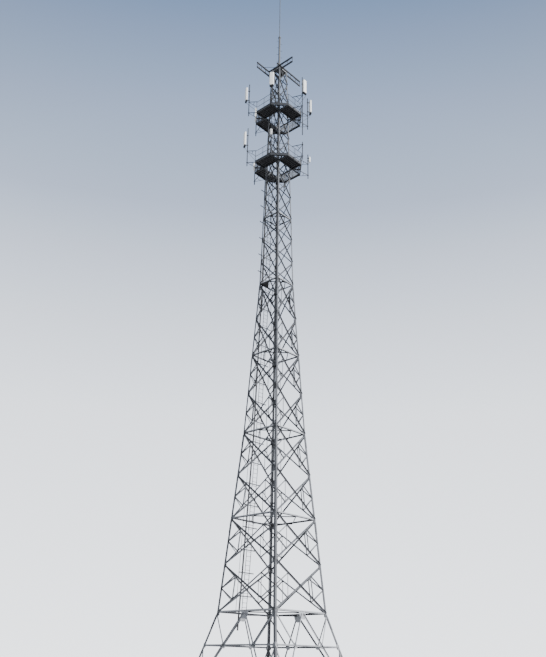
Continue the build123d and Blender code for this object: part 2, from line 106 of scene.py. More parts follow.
class MemberSizes(bpy.types.PropertyGroup):
    """Sizes of the bracing's angle bars and plates."""
    diagonal_width: bpy.props.FloatProperty(
        name="Diagonal width", description="Flange width of the crossed bars below the shoulder",
        default=0.052, unit="LENGTH")
    slim_width: bpy.props.FloatProperty(
        name="Slim width", description="Flange width of the crossed bars above the shoulder",
        default=0.040, unit="LENGTH")
    light_width: bpy.props.FloatProperty(
        name="Light bar width", description="Flange width of the short bars from the legs",
        default=0.034, unit="LENGTH")
    belt_width: bpy.props.FloatProperty(
        name="Belt width", description="Flange width of the level bars at each belt",
        default=0.060, unit="LENGTH")
    portal_width: bpy.props.FloatProperty(
        name="Portal width", description="Flange width of the long braces at the ground",
        default=0.052, unit="LENGTH")
    thickness: bpy.props.FloatProperty(
        name="Thickness", description="Thickness of the bars' flanges and of the plates",
        default=0.0035, unit="LENGTH")
    stand: bpy.props.FloatProperty(
        name="Standing flange", description="How far a bar's other flange stands off the side",
        default=0.034, unit="LENGTH")
    rack_stand: bpy.props.FloatProperty(
        name="Standing flange by the rack", description="The same on the side that carries the ladder",
        default=0.0115, unit="LENGTH")


class FastenerSizes(bpy.types.PropertyGroup):
    """Sizes of bolts, washers and anchor studs."""
    head_radius: bpy.props.FloatProperty(
        name="Bolt head radius", description="From the middle to a corner of a bolt's head",
        default=0.0068, unit="LENGTH")
    head_height: bpy.props.FloatProperty(
        name="Bolt head height", description="Height of a bolt's head",
        default=0.0050, unit="LENGTH")
    washer_radius: bpy.props.FloatProperty(
        name="Washer radius", description="Radius of the washer under a bolt's head",
        default=0.0085, unit="LENGTH")
    stud_radius: bpy.props.FloatProperty(
        name="Anchor stud radius", description="Radius of the studs that hold the base plates",
        default=0.0100, unit="LENGTH")
    stud_height: bpy.props.FloatProperty(
        name="Anchor stud height", description="Height of the studs from the foundation",
        default=0.0600, unit="LENGTH")


class PlatformSizes(bpy.types.PropertyGroup):
    """Sizes of the platforms' railings and decks."""
    baluster_gap: bpy.props.FloatProperty(
        name="Baluster gap", description="Distance between the railing's thin uprights",
        default=0.085, unit="LENGTH")
    baluster_radius: bpy.props.FloatProperty(
        name="Baluster radius", description="Radius of the railing's thin uprights",
        default=0.0035, unit="LENGTH")
    rail_radius: bpy.props.FloatProperty(
        name="Rail radius", description="Radius of the railing's tubes",
        default=0.0085, unit="LENGTH")
    joist_gap: bpy.props.FloatProperty(
        name="Joist gap", description="Distance between the ribs under the deck plates",
        default=0.095, unit="LENGTH")


class FinishColours(bpy.types.PropertyGroup):
    """Colours of the tower's finishes."""
    zinc: bpy.props.FloatVectorProperty(
        name="Zinc", description="Clean galvanised steel", subtype="COLOR", size=4,
        default=(0.13, 0.137, 0.148, 1))
    weathered: bpy.props.FloatVectorProperty(
        name="Weathered zinc", description="Darker streaks on the steel", subtype="COLOR", size=4,
        default=(0.050, 0.052, 0.060, 1))
    # Pale zinc: painted sunlight on the outer belts and on the front and right sides' portal angles; the
    # portal plates are pale zinc too
    sunlit_pale_zinc: bpy.props.FloatVectorProperty(
        name="Pale zinc", description="Rain-washed zinc of the outer belts and the near sides' feet",
        subtype="COLOR", size=4, default=(0.36, 0.37, 0.39, 1))
    # Dark zinc as painted shade on the outer diagonals, the middle and upper bracing, the level frames, the
    # far sides' portal angles and the platforms' beams and railing tubes
    shade_zinc: bpy.props.FloatVectorProperty(
        name="Worn zinc", description="Dull dark zinc of the outer diagonals, upper bracing and platforms",
        subtype="COLOR", size=4, default=(0.034, 0.037, 0.043, 1))
    # grime is near-black: painted shade on faces that look down and on the inner belts, and the dark colour
    # of the rack, ladder and arms
    grime: bpy.props.FloatVectorProperty(
        name="Grime", description="Soot on the rack, ladder and arms, and on faces that look down",
        subtype="COLOR", size=4, default=(0.018, 0.019, 0.023, 1))
    rust: bpy.props.FloatVectorProperty(
        name="Rust", description="Faint rust where water runs off", subtype="COLOR", size=4,
        default=(0.16, 0.10, 0.07, 1))
    deck: bpy.props.FloatVectorProperty(
        name="Deck", description="Dark steel of the decks", subtype="COLOR", size=4,
        default=(0.035, 0.034, 0.036, 1))
    shell: bpy.props.FloatVectorProperty(
        name="Shell", description="Off-white housings of antennas and radio units", subtype="COLOR", size=4,
        default=(0.78, 0.79, 0.78, 1))
    sheath: bpy.props.FloatVectorProperty(
        name="Sheath", description="Black cable sheath and end caps", subtype="COLOR", size=4,
        default=(0.012, 0.012, 0.014, 1))
    floor: bpy.props.FloatVectorProperty(
        name="Floor", description="Plain pale floor", subtype="COLOR", size=4,
        default=(0.55, 0.55, 0.54, 1))


# Nodes: one method adds any node, and shader maths reads as plain arithmetic

def add_node(tree, kind, settings=None, sockets=None):
    """Adds a node with its settings first, then the values or links of its sockets."""
    node = tree.nodes.new(kind)
    for name, value in (settings or {}).items():
        if name == "stops":
            ramp = node.color_ramp
            while len(ramp.elements) < len(value):
                ramp.elements.new(1)
            for element, (position, shade) in zip(ramp.elements, value):
                element.position = position
                element.color = (shade, shade, shade, 1)
        else:
            setattr(node, name, value)
    for name, value in (sockets or {}).items():
        value = getattr(value, "socket", value)
        if isinstance(value, bpy.types.NodeSocket):
            tree.links.new(value, node.inputs[name])
        else:
            node.inputs[name].default_value = value
    return node


class Value:
    """A number that varies over a surface."""

    def __init__(self, tree, socket):
        self.tree = tree
        self.socket = socket

    def joined(self, operation, first, second):
        """What a maths node makes of two values."""
        node = add_node(self.tree, "ShaderNodeMath", {"operation": operation}, {0: first, 1: second})
        return Value(self.tree, node.outputs[0])

    def __add__(self, other):
        return self.joined("ADD", self, other)

    def __mul__(self, other):
        return self.joined("MULTIPLY", self, other)


class Finish:
    """One material, with the textures that its surface needs."""

    def __init__(self, name, metallic, roughness, colour):
        self.material = bpy.data.materials.new(name)
        self.material.use_nodes = True
        self.material.diffuse_color = tuple(colour)
        self.tree = self.material.node_tree
        self.shader = next(node for node in self.tree.nodes if node.type == "BSDF_PRINCIPLED")
        self.shader.inputs["Metallic"].default_value = metallic
        self.shader.inputs["Roughness"].default_value = roughness
        self.shader.inputs["Base Color"].default_value = tuple(colour)
        self.place = add_node(self.tree, "ShaderNodeTexCoord").outputs["Object"]

    def stretched(self, scale):
        """Places on the surface, with each axis stretched by its own amount."""
        return add_node(
            self.tree, "ShaderNodeMapping", sockets={"Vector": self.place, "Scale": scale}
        ).outputs[0]

    def noise(self, scale, detail=3.0, place=None):
        """Cloudy variation from 0 to 1."""
        node = add_node(
            self.tree, "ShaderNodeTexNoise",
            sockets={"Vector": place or self.place, "Scale": scale, "Detail": detail},
        )
        return Value(self.tree, node.outputs[0])

    def cells(self, scale):
        """A different number for each small cell of the surface."""
        node = add_node(self.tree, "ShaderNodeTexVoronoi", sockets={"Vector": self.place, "Scale": scale})
        apart = add_node(self.tree, "ShaderNodeSeparateColor", sockets={0: node.outputs["Color"]})
        return Value(self.tree, apart.outputs[0])

    def ramp(self, value, stops):
        """A value read through a ramp of (position, shade) stops."""
        node = add_node(self.tree, "ShaderNodeValToRGB", {"stops": stops}, {0: value})
        return Value(self.tree, node.outputs[0])

    def mixed(self, factor, first, second):
        """A colour between two others."""
        node = add_node(
            self.tree, "ShaderNodeMix", {"data_type": "RGBA"}, {0: factor, 6: first, 7: second}
        )
        return node.outputs[2]

    def downward_shade(self):
        """Painted shade: from 0 on level and upright faces to 1 on faces that look down."""
        normal = add_node(self.tree, "ShaderNodeTexCoord").outputs["Normal"]
        rise = add_node(self.tree, "ShaderNodeSeparateXYZ", sockets={0: normal}).outputs["Z"]
        return self.ramp(Value(self.tree, rise) * 0.5 + 0.5, ((0.08, 1.0), (0.42, 0.0)))

    def bump(self, height, strength, distance):
        """Small relief on the surface."""
        node = add_node(
            self.tree, "ShaderNodeBump",
            sockets={"Height": height, "Strength": strength, "Distance": distance},
        )
        self.tree.links.new(node.outputs[0], self.shader.inputs["Normal"])

    def put(self, name, value):
        """Links a value or a colour to one of the shader's sockets."""
        self.tree.links.new(getattr(value, "socket", value), self.shader.inputs[name])


# Share of the grime colour painted as shade on faces that look down
DOWNWARD_SHADE_SHARE = 0.85


def steel_finish(name, colours, spangle, dirt, zinc=None):
    """Galvanised steel: zinc flowers, streaks of weather, a little rust, and painted shade on faces that
    look down.
    """
    zinc = zinc or tuple(colours.zinc)
    finish = Finish(name, 0.10, 0.55, zinc)
    flowers = finish.cells(55.0)
    streaks = finish.noise(1.0, 4.0, finish.stretched((9.0, 9.0, 0.9)))
    clouds = finish.noise(2.2, 2.0)
    weather = finish.ramp(streaks * 0.6 + clouds * 0.4, ((0.36, 0.0), (0.66, 1.0)))
    rust = finish.ramp(finish.noise(7.0, 6.0), ((0.64, 0.0), (0.76, 1.0)))
    colour = finish.mixed(weather * dirt + flowers * spangle, zinc, tuple(colours.weathered))
    colour = finish.mixed(rust * 0.35, colour, tuple(colours.rust))
    # Painted shade: faces that look down are darkened towards the grime colour
    finish.put("Base Color", finish.mixed(finish.downward_shade() * DOWNWARD_SHADE_SHARE, colour, tuple(colours.grime)))
    finish.put("Roughness", flowers * 0.12 + weather * 0.18 + 0.36)
    finish.bump(finish.noise(160.0, 2.0) + flowers * 0.3, 0.12, 0.0006)
    return finish.material


def deck_finish(colours):
    """Dark steel plate with a raised tread, dull brown stains, and painted shade on faces that look down."""
    finish = Finish("deck_steel", 0.2, 0.7, colours.deck)
    stains = finish.ramp(finish.noise(5.0, 5.0), ((0.42, 0.0), (0.72, 1.0)))
    colour = finish.mixed(stains * 0.15, tuple(colours.deck), tuple(colours.rust))
    # Painted shade: faces that look down are darkened towards the grime colour
    finish.put("Base Color", finish.mixed(finish.downward_shade() * DOWNWARD_SHADE_SHARE, colour, tuple(colours.grime)))
    finish.put("Roughness", stains * 0.2 + 0.55)
    tread = add_node(
        finish.tree, "ShaderNodeTexWave", {"bands_direction": "DIAGONAL"},
        {"Vector": finish.place, "Scale": 26.0, "Distortion": 1.5},
    )
    finish.bump(Value(finish.tree, tread.outputs[1]), 0.3, 0.0012)
    return finish.material


def shell_finish(colours):
    """Off-white housing with faint streaks from rain."""
    finish = Finish("antenna_white", 0.0, 0.42, colours.shell)
    streaks = finish.noise(1.0, 3.0, finish.stretched((40.0, 40.0, 2.5)))
    grime = finish.ramp(streaks * 0.7 + finish.noise(6.0) * 0.3, ((0.48, 0.0), (0.80, 1.0)))
    finish.put("Base Color", finish.mixed(grime * 0.28, tuple(colours.shell), tuple(colours.zinc)))
    finish.put("Roughness", grime * 0.25 + 0.38)
    finish.bump(finish.noise(220.0, 1.0), 0.05, 0.0003)
    return finish.material


def sheath_finish(name, colours, roughness):
    """Black sheath or cap, dusty in places."""
    finish = Finish(name, 0.0, roughness, colours.sheath)
    dust = finish.ramp(finish.noise(14.0, 4.0), ((0.45, 0.0), (0.85, 1.0)))
    finish.put("Base Color", finish.mixed(dust * 0.12, tuple(colours.sheath), tuple(colours.zinc)))
    finish.put("Roughness", dust * 0.2 + roughness)
    finish.bump(finish.noise(300.0, 1.0), 0.06, 0.0003)
    return finish.material


def floor_finish(colours):
    """Plain pale floor."""
    finish = Finish("pale_floor", 0.0, 0.9, colours.floor)
    finish.put("Roughness", finish.noise(0.35, 3.0) * 0.08 + 0.86)
    return finish.material


def finish_named(name):
    """A finish made by the finishes' operator."""
    return bpy.data.materials[name]


# Solids: closed shapes gathered into one mesh

class Solids:
    """Closed solids in one mesh, placed from the tower's axis and turned by quarters."""

    def __init__(self, quarter=0):
        self.mesh = bmesh.new()
        self.turn_to(quarter)

    def turn_to(self, quarter):
        """The side that the next solids are made for."""
        self.place = Matrix.Translation(AXIS) @ Matrix.Rotation(math.pi / 2 * quarter, 4, "Z")

    def prism(self, outline, start, along, across, rise):
        """An outline pushed along a line."""
        area = sum(
            a[0] * b[1] - b[0] * a[1] for a, b in zip(outline, outline[1:] + outline[:1])
        )
        if area * across.cross(rise).dot(along) < 0:
            outline = outline[::-1]
        bottom, top = (
            [self.mesh.verts.new(self.place @ (start + shift + across * a + rise * b)) for a, b in outline]
            for shift in (Vector(), along)
        )
        count = len(outline)
        for index in range(count):
            following = (index + 1) % count
            self.mesh.faces.new((bottom[index], bottom[following], top[following], top[index]))
        self.mesh.faces.new(bottom[::-1])
        self.mesh.faces.new(top)

    def angle(self, start, end, normal, width, stand, thickness, hand=1):
        """An angle bar: one flange flat on a plane, the other standing off it at one edge."""
        along = end - start
        across = normal.cross(along).normalized() * hand
        rise = along.cross(across).normalized()
        if rise.dot(normal) * stand < 0:
            rise = -rise
        edge = width / 2
        depth = abs(stand)
        outline = [
            (-edge, 0), (edge, 0), (edge, depth), (edge - thickness, depth),
            (edge - thickness, thickness), (-edge, thickness),
        ]
        self.prism(outline, start, along, across, rise)

    def channel(self, start, end, outward, height, width, thickness):
        """A level channel beam: its web upright on the outward side, from a lower edge up."""
        outline = [
            (0, 0), (0, height), (-width, height), (-width, height - thickness),
            (-thickness, height - thickness), (-thickness, thickness), (-width, thickness), (-width, 0),
        ]
        self.prism(outline, start, end - start, outward, UP)

    def flat(self, start, end, normal, width, thickness):
        """A flat bar on a plane."""
        along = end - start
        across = normal.cross(along).normalized()
        edge = width / 2
        outline = [(-edge, 0), (edge, 0), (edge, thickness), (-edge, thickness)]
        self.prism(outline, start, along, across, normal)

    def plate(self, centre, across, normal, outline, thickness):
        """A flat plate whose outline lies on a plane."""
        rise = normal.cross(across).normalized()
        self.prism(outline, centre, normal * thickness, across, rise)

    def block(self, centre, sizes, turn=0):
        """A box about its own middle, turned about the upright."""
        spin = math.radians(turn)
        across = Vector((math.cos(spin), math.sin(spin), 0))
        x, y, z = (size / 2 for size in sizes)
        outline = [(-x, -y), (x, -y), (x, y), (-x, y)]
        self.prism(outline, centre - UP * z, UP * sizes[2], across, UP.cross(across))

    def rod(self, start, end, radius, sides=12):
        """A round bar."""
        along = end - start
        across = along.orthogonal().normalized()
        rise = along.cross(across).normalized()
        outline = [
            (radius * math.cos(math.tau * step / sides), radius * math.sin(math.tau * step / sides))
            for step in range(sides)
        ]
        self.prism(outline, start, along, across, rise)

    def piece(self, name, finish, slot, *replaced):
        """The finished object, riding on the tower."""
        mesh = bpy.data.meshes.new(name)
        self.mesh.to_mesh(mesh)
        self.mesh.free()
        return mount_piece(mesh, name, finish, slot, *replaced)


def bolt_piece(points, name, fasteners, share=1):
    """The finished bolts and washers of a group of points."""
    sizes = (fasteners.head_radius * share, fasteners.head_height, fasteners.washer_radius * share)
    points.piece(name, "bolt", sizes, "bright_steel", "galvanised_steel")


def mount_piece(mesh, name, finish, slot, *replaced):
    """An object of a mesh, with its finish, riding on the tower."""
    if not mesh.materials:
        mesh.materials.append(finish_named(finish))
    thing = bpy.data.objects.new(name, mesh)
    bpy.context.scene.collection.objects.link(thing)
    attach(thing, "root")
    if replaced:
        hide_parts(*replaced)
    return thing


class Side:
    """One zone of the front side: x along it, a height up it and a distance out of it."""

    def __init__(self, low, high):
        self.normal = Vector((0, low - high, half_at(low) - half_at(high))).normalized()

    def spot(self, x, height, out=0.0):
        """The point at a place along the side, a height and a distance out of it."""
        return Vector((x, -half_at(height), height)) + self.normal * out


def trimmed(start, end, cut):
    """Both ends of a line drawn in by a cut."""
    step = (end - start).normalized() * cut
    return start + step, end - step


# Shapes that repeat: a node tree puts one on each point, turned to face its own way

def repeat_tree(name, sizes, shape):
    """A tree with named sizes whose shape stands on every point of the mesh."""
    tree = bpy.data.node_groups.new(name, "GeometryNodeTree")
    tree.interface.new_socket("Geometry", in_out="INPUT", socket_type="NodeSocketGeometry")
    for label, size in sizes.items():
        tree.interface.new_socket(label, in_out="INPUT", socket_type="NodeSocketFloat").default_value = size
    tree.interface.new_socket("Finish", in_out="INPUT", socket_type="NodeSocketMaterial")
    tree.interface.new_socket("Geometry", in_out="OUTPUT", socket_type="NodeSocketGeometry")
    entry = add_node(tree, "NodeGroupInput")
    turn = None
    for axis, attribute in (("Z", "facing"), ("X", "heading")):
        read = add_node(
            tree, "GeometryNodeInputNamedAttribute", {"data_type": "FLOAT_VECTOR"}, {"Name": attribute}
        )
        settings = {"axis": axis, "pivot_axis": "AUTO" if turn is None else "Z"}
        sockets = {"Vector": read.outputs[0]}
        if turn is not None:
            sockets["Rotation"] = turn
        turn = add_node(tree, "FunctionNodeAlignRotationToVector", settings, sockets).outputs[0]
    spread = add_node(
        tree, "GeometryNodeInstanceOnPoints",
        sockets={"Points": entry.outputs["Geometry"], "Instance": shape(tree, entry), "Rotation": turn},
    )
    solid = add_node(tree, "GeometryNodeRealizeInstances", sockets={0: spread.outputs[0]})
    finished = add_node(
        tree, "GeometryNodeSetMaterial",
        sockets={"Geometry": solid.outputs[0], "Material": entry.outputs["Finish"]},
    )
    add_node(tree, "NodeGroupOutput", sockets={0: finished.outputs[0]})
    return tree


def cylinder_node(tree, sides, radius, depth, centre):
    """A cylinder that stands up, its middle at a height."""
    body = add_node(
        tree, "GeometryNodeMeshCylinder",
        sockets={"Vertices": sides, "Radius": radius, "Depth": depth},
    )
    place = add_node(tree, "ShaderNodeCombineXYZ", sockets={"Z": centre})
    return add_node(
        tree, "GeometryNodeTransform",
        sockets={"Geometry": body.outputs["Mesh"], "Translation": place.outputs[0]},
    ).outputs[0]


def joined_node(tree, *parts):
    """Several shapes as one."""
    node = tree.nodes.new("GeometryNodeJoinGeometry")
    for part in parts:
        tree.links.new(part, node.inputs[0])
    return node.outputs[0]


# Thickness and middle of a bolt's washer, and the same in pairs for a stud's washer and nuts
WASHER = 0.0016
WASHER_MIDDLE = 0.0006
HEAD_LOW = 0.0013
STUD_WASHER = (0.004, 0.0169)
STUD_NUTS = ((0.016, 0.0268), (0.010, 0.0402))


def bolt_shape(tree, entry):
    """A six-sided head on its washer."""
    head_height = Value(tree, entry.outputs["Head height"])
    washer = cylinder_node(tree, 10, entry.outputs["Washer radius"], WASHER, WASHER_MIDDLE)
    head = cylinder_node(tree, 6, entry.outputs["Head radius"], head_height, head_height * 0.5 + HEAD_LOW)
    return joined_node(tree, washer, head)


def stud_shape(tree, entry):
    """An anchor stud with its washer and two nuts."""
    length = Value(tree, entry.outputs["Length"])
    radius = Value(tree, entry.outputs["Radius"])
    stud = cylinder_node(tree, 12, radius, length, length * 0.5)
    washer = cylinder_node(tree, 16, radius * 2.0, *STUD_WASHER)
    nuts = [cylinder_node(tree, 6, radius * 1.75, *place) for place in STUD_NUTS]
    return joined_node(tree, stud, washer, *nuts)


def rod_shape(tree, entry):
    """A round bar that stands on its point."""
    length = Value(tree, entry.outputs["Length"])
    return cylinder_node(tree, 8, entry.outputs["Radius"], length, length * 0.5)


def block_shape(tree, entry):
    """A block that stands on its point."""
    size = add_node(
        tree, "ShaderNodeCombineXYZ",
        sockets={"X": entry.outputs["Length"], "Y": entry.outputs["Width"], "Z": entry.outputs["Height"]},
    )
    body = add_node(tree, "GeometryNodeMeshCube", sockets={"Size": size.outputs[0]})
    height = Value(tree, entry.outputs["Height"])
    lift = add_node(tree, "ShaderNodeCombineXYZ", sockets={"Z": height * 0.5})
    return add_node(
        tree, "GeometryNodeTransform",
        sockets={"Geometry": body.outputs["Mesh"], "Translation": lift.outputs[0]},
    ).outputs[0]


SHAPES = {
    "bolt": (bolt_shape, ("Head radius", "Head height", "Washer radius")),
    "stud": (stud_shape, ("Radius", "Length")),
    "rod": (rod_shape, ("Radius", "Length")),
    "block": (block_shape, ("Length", "Width", "Height")),
}


class Points:
    """Points that a repeated shape stands on, with the way that each one faces."""

    def __init__(self, quarter=0):
        self.places = []
        self.facings = []
        self.headings = []
        self.turn_to(quarter)

    def turn_to(self, quarter):
        """The side that the next points are made for."""
        self.turn = Matrix.Rotation(math.pi / 2 * quarter, 4, "Z")

    def add(self, place, facing, heading=None):
        """One more point, the way it faces, and the way that its length lies if that matters."""
        self.places.append(AXIS + self.turn @ place)
        self.facings.append(self.turn @ facing)
        self.headings.append(self.turn @ (heading or facing.orthogonal()))

    def piece(self, name, shape, sizes, finish, slot, *replaced):
        """The finished object: the shape on every point, as one plain mesh."""
        build, labels = SHAPES[shape]
        tree = repeat_tree(name, dict(zip(labels, sizes)), build)
        mesh = bpy.data.meshes.new(name)
        mesh.from_pydata(self.places, [], [])
        for attribute, vectors in (("facing", self.facings), ("heading", self.headings)):
            layer = mesh.attributes.new(attribute, "FLOAT_VECTOR", "POINT")
            layer.data.foreach_set("vector", [number for vector in vectors for number in vector])
        holder = bpy.data.objects.new(name, mesh)
        bpy.context.scene.collection.objects.link(holder)
        modifier = holder.modifiers.new(name, "NODES")
        modifier.node_group = tree
        values = dict(zip(labels, sizes))
        values["Finish"] = finish_named(finish)
        for item in tree.interface.items_tree:
            if item.in_out == "INPUT" and item.name in values:
                modifier[item.identifier] = values[item.name]
        graph = bpy.context.evaluated_depsgraph_get()
        made = bpy.data.meshes.new_from_object(holder.evaluated_get(graph))
        holder.modifiers.remove(modifier)
        bpy.data.objects.remove(holder)
        bpy.data.meshes.remove(mesh)
        bpy.data.node_groups.remove(tree)
        return mount_piece(made, name, finish, slot, *replaced)


# Members of the sides

PLATE = 0.0035
JOINT_CUT = 0.045
BOLT_STEP = 0.030


def bolt_row(points, start, end, face, normal, count=2, inset=0.014):
    """Bolts along a bar from one of its ends, on the bar's outer face."""
    step = (end - start).normalized()
    for number in range(count):
        points.add(start + step * (inset + number * BOLT_STEP) + normal * face, normal, step)


def side_bar(solids, points, side, start, end, width, stand, hand, sizes, out=PLATE, cut=JOINT_CUT):
    """A bar of a side between two (x, height) places, bolted at both ends."""
    ends = trimmed(side.spot(*start, out), side.spot(*end, out), cut)
    solids.angle(*ends, side.normal, width, stand, sizes.thickness, hand)
    if stand > 0:
        for near, far in (ends, ends[::-1]):
            bolt_row(points, near, far, sizes.thickness, side.normal)


# The bars that fall from left to right are wider by this share
FALLING_SHARE = 1.25
LIGHT_THICKNESS = 0.003
LIGHT_STAND = 0.022
LIGHT_RACK_STAND = 0.010
TIE_WIDTH = 0.026
TIE_DEPTH = 0.004


def crossed_panel(solids, outer_bars, points, side, bottom, top, width, stand, light_bars, sizes):
    """Two crossed bars of one panel, light bars from the legs to their quarters, and upright ties.

    The bars that fall from left to right go to the outer ones, and are a little wider.
    """
    low_half = half_at(bottom)
    high_half = half_at(top)
    inner = -flange_at((bottom + top) / 2)[1]
    side_bar(
        outer_bars, points, side, (-high_half, top), (low_half, bottom), width * FALLING_SHARE, stand, 1,
        sizes,
    )
    side_bar(
        solids, points, side, (-low_half, bottom), (high_half, top), width, -sizes.stand, 1, sizes, out=inner
    )
    share = low_half / (low_half + high_half)
    crossing = (0, bottom + (top - bottom) * share)
    points.add(side.spot(*crossing, PLATE + sizes.thickness), side.normal)
    for hand in (-1, 1):
        for height, half in ((bottom, low_half), (top, high_half)):
            points.add(side.spot(hand * (half - 0.04), height, PLATE), side.normal)
    if not light_bars:
        return
    middle = (bottom + top) / 2
    middle_half = (low_half + high_half) / 2
    for hand in (-1, 1):
        quarters = []
        for height, half in ((bottom, low_half), (top, high_half)):
            quarters.append((hand * half / 2, (height + crossing[1]) / 2))
            near = side.spot(hand * (middle_half - 0.03), middle)
            far = side.spot(*quarters[-1])
            lead = (far - near).normalized() * 0.012
            falls = (height == top) == (hand == 1)
            (outer_bars if falls else solids).angle(
                near - lead, far + lead, side.normal, sizes.light_width * (FALLING_SHARE if falls else 1),
                -LIGHT_STAND if stand > 0 else LIGHT_RACK_STAND, LIGHT_THICKNESS, hand,
            )
            points.add(near + side.normal * 0.001, side.normal)
            points.add(far + side.normal * (PLATE + sizes.thickness), side.normal)
        low, high = (side.spot(*quarter, -TIE_DEPTH) for quarter in quarters)
        solids.angle(low, high, side.normal, TIE_WIDTH, -TIE_WIDTH, LIGHT_THICKNESS, hand)


def joint_plate(solids, side, x, height, width, rise, out=0.0):
    """A small plate under the bars where they meet."""
    edge = width / 2
    top = rise / 2
    chamfer = min(edge, top) * 0.45
    outline = [
        (-edge, -top + chamfer), (-edge + chamfer, -top), (edge - chamfer, -top), (edge, -top + chamfer),
        (edge, top - chamfer), (edge - chamfer, top), (-edge + chamfer, top), (-edge, top - chamfer),
    ]
    solids.plate(side.spot(x, height, out), TO_RIGHT, side.normal, outline, PLATE)


BELT_INSET = 0.012
OUTER_BELT_SHARE = 0.7
OUTER_BELT_STAND = 0.012
INNER_BELT_CUT = 0.07
INNER_BELT_DEPTH = 0.024


def belt(outer, inner, points, side, height, width, sizes):
    """A level pair of bars across a side, with bolts at the legs and at its middle plate."""
    reach = half_at(height) - BELT_INSET
    start = side.spot(-reach, height + width / 2, PLATE)
    end = side.spot(reach, height + width / 2, PLATE)
    outer.angle(start, end, side.normal, width * OUTER_BELT_SHARE, -OUTER_BELT_STAND, sizes.thickness, -1)
    lead = (end - start).normalized() * INNER_BELT_CUT
    drop = side.normal * -INNER_BELT_DEPTH
    inner.angle(start + lead + drop, end - lead + drop, -side.normal, width, sizes.stand, sizes.thickness, 1)
    for near, far in ((start, end), (end, start)):
        bolt_row(points, near, far, sizes.thickness, side.normal, 3)
    middle = side.spot(0, height + width / 2, PLATE + sizes.thickness)
    for shift in (-0.06, -0.02, 0.02, 0.06):
        points.add(middle + Vector((shift, 0, 0)), side.normal)


def panel_joints(low, high, rise):
    """Heights of the panel joints, the last panel as low as it has to be."""
    count = math.ceil(round((high - low) / rise, 6))
    return [low + number * rise for number in range(count)] + [high]


# Each zone's panel joints, its belts, and whether it has light bars
ZONES = {
    "lower": (panel_joints(RING, WAIST, 1.5), (RING, RING + BELT_PITCH), True),
    "middle": (panel_joints(WAIST, SHOULDER, 1.5), (WAIST, WAIST + BELT_PITCH), True),
    "upper": (panel_joints(SHOULDER, HEAD, 1.0), (SHOULDER, SHOULDER + BELT_PITCH, HEAD - 0.062), False),
}


JOINT_PLATE = 0.12
SLIM_JOINT_PLATE = 0.085
SLIM_BELT_WIDTH = 0.045


def lattice_zone(solids, outer_bars, belts_made, points, zone, stand, sizes):
    """All the members of one zone of a side."""
    joints, belts, light_bars = ZONES[zone]
    side = Side(joints[0], joints[-1])
    width = sizes.diagonal_width if light_bars else sizes.slim_width
    for bottom, top in zip(joints, joints[1:]):
        crossed_panel(solids, outer_bars, points, side, bottom, top, width, stand, light_bars, sizes)
    for joint in joints[:-1]:
        for hand in (-1, 1):
            size = JOINT_PLATE if light_bars else SLIM_JOINT_PLATE
            joint_plate(solids, side, hand * (half_at(joint) - size / 2 - 0.004), joint, size, size * 1.5)
    for height in belts:
        belt(*belts_made, points, side, height, sizes.belt_width if light_bars else SLIM_BELT_WIDTH, sizes)


# The front and right sides, whose portal angles get the pale zinc as painted sunlight
SUNLIT_SIDES = (0, 1)
PORTAL_BAR = 2.025
KNEE = 1.01
BRACE_FOOT = 1.98
BRACE_TOP_CUT = 0.06
KNEE_CUT = 0.03
KNEE_STAND = 0.026
PORTAL_GUSSET = [
    (-0.15, -0.01), (-0.13, -0.16), (-0.06, -0.22), (0.06, -0.22), (0.13, -0.16), (0.15, -0.01),
    (0.15, 0.055), (-0.15, 0.055),
]
FOOT_GUSSET = [(-0.13, 0.03), (0.0, 0.03), (0.0, 0.16), (-0.06, 0.34), (-0.15, 0.30), (-0.2, 0.03)]


def portal_zone(solids, plates, points, stand, sizes):
    """Long braces, portal bar, knee bars and plates of a side at the ground."""
    side = Side(0, RING)
    bar_half = half_at(PORTAL_BAR)
    crossing = BRACE_FOOT * (1 - PORTAL_BAR / RING)
    knee = BRACE_FOOT * (1 - KNEE / RING)
    width = sizes.portal_width
    side_bar(solids, points, side, (-bar_half, PORTAL_BAR), (bar_half, PORTAL_BAR), width, stand, -1, sizes)
    plates.plate(side.spot(0, RING), TO_RIGHT, side.normal, PORTAL_GUSSET, PLATE)
    for hand in (-1, 1):
        side_bar(
            solids, points, side, (0, RING), (hand * BRACE_FOOT, 0), width, stand, hand, sizes,
            cut=BRACE_TOP_CUT,
        )
        out = PLATE + sizes.thickness
        for height, place in ((PORTAL_BAR, crossing), (KNEE, knee)):
            joint_plate(plates, side, hand * place, height, 0.17, 0.15, -PLATE)
            for shift in (-0.03, 0.03):
                points.add(side.spot(hand * place + shift, height, out), side.normal)
        for start, end in (
            ((hand * half_at(RING), RING - 0.01), (hand * crossing, PORTAL_BAR)),
            ((hand * bar_half, PORTAL_BAR), (hand * knee, KNEE)),
            ((hand * half_at(KNEE), KNEE), (hand * knee, KNEE)),
        ):
            near, far = trimmed(side.spot(*start), side.spot(*end), KNEE_CUT)
            solids.angle(near, far, side.normal, sizes.slim_width, -KNEE_STAND, sizes.thickness, hand)
            for place, other in ((near, far), (far, near)):
                bolt_row(points, place, other, PLATE, side.normal, 1)
        for height in (PORTAL_BAR, KNEE):
            joint_plate(solids, side, hand * (half_at(height) - 0.055), height, 0.11, 0.16, 0.0)
        heel = half_at(0) - 0.022
        outline = [(x * hand, height) for x, height in FOOT_GUSSET]
        solids.plate(Vector((hand * heel, -half_at(0), 0)), TO_RIGHT, side.normal, outline, PLATE)


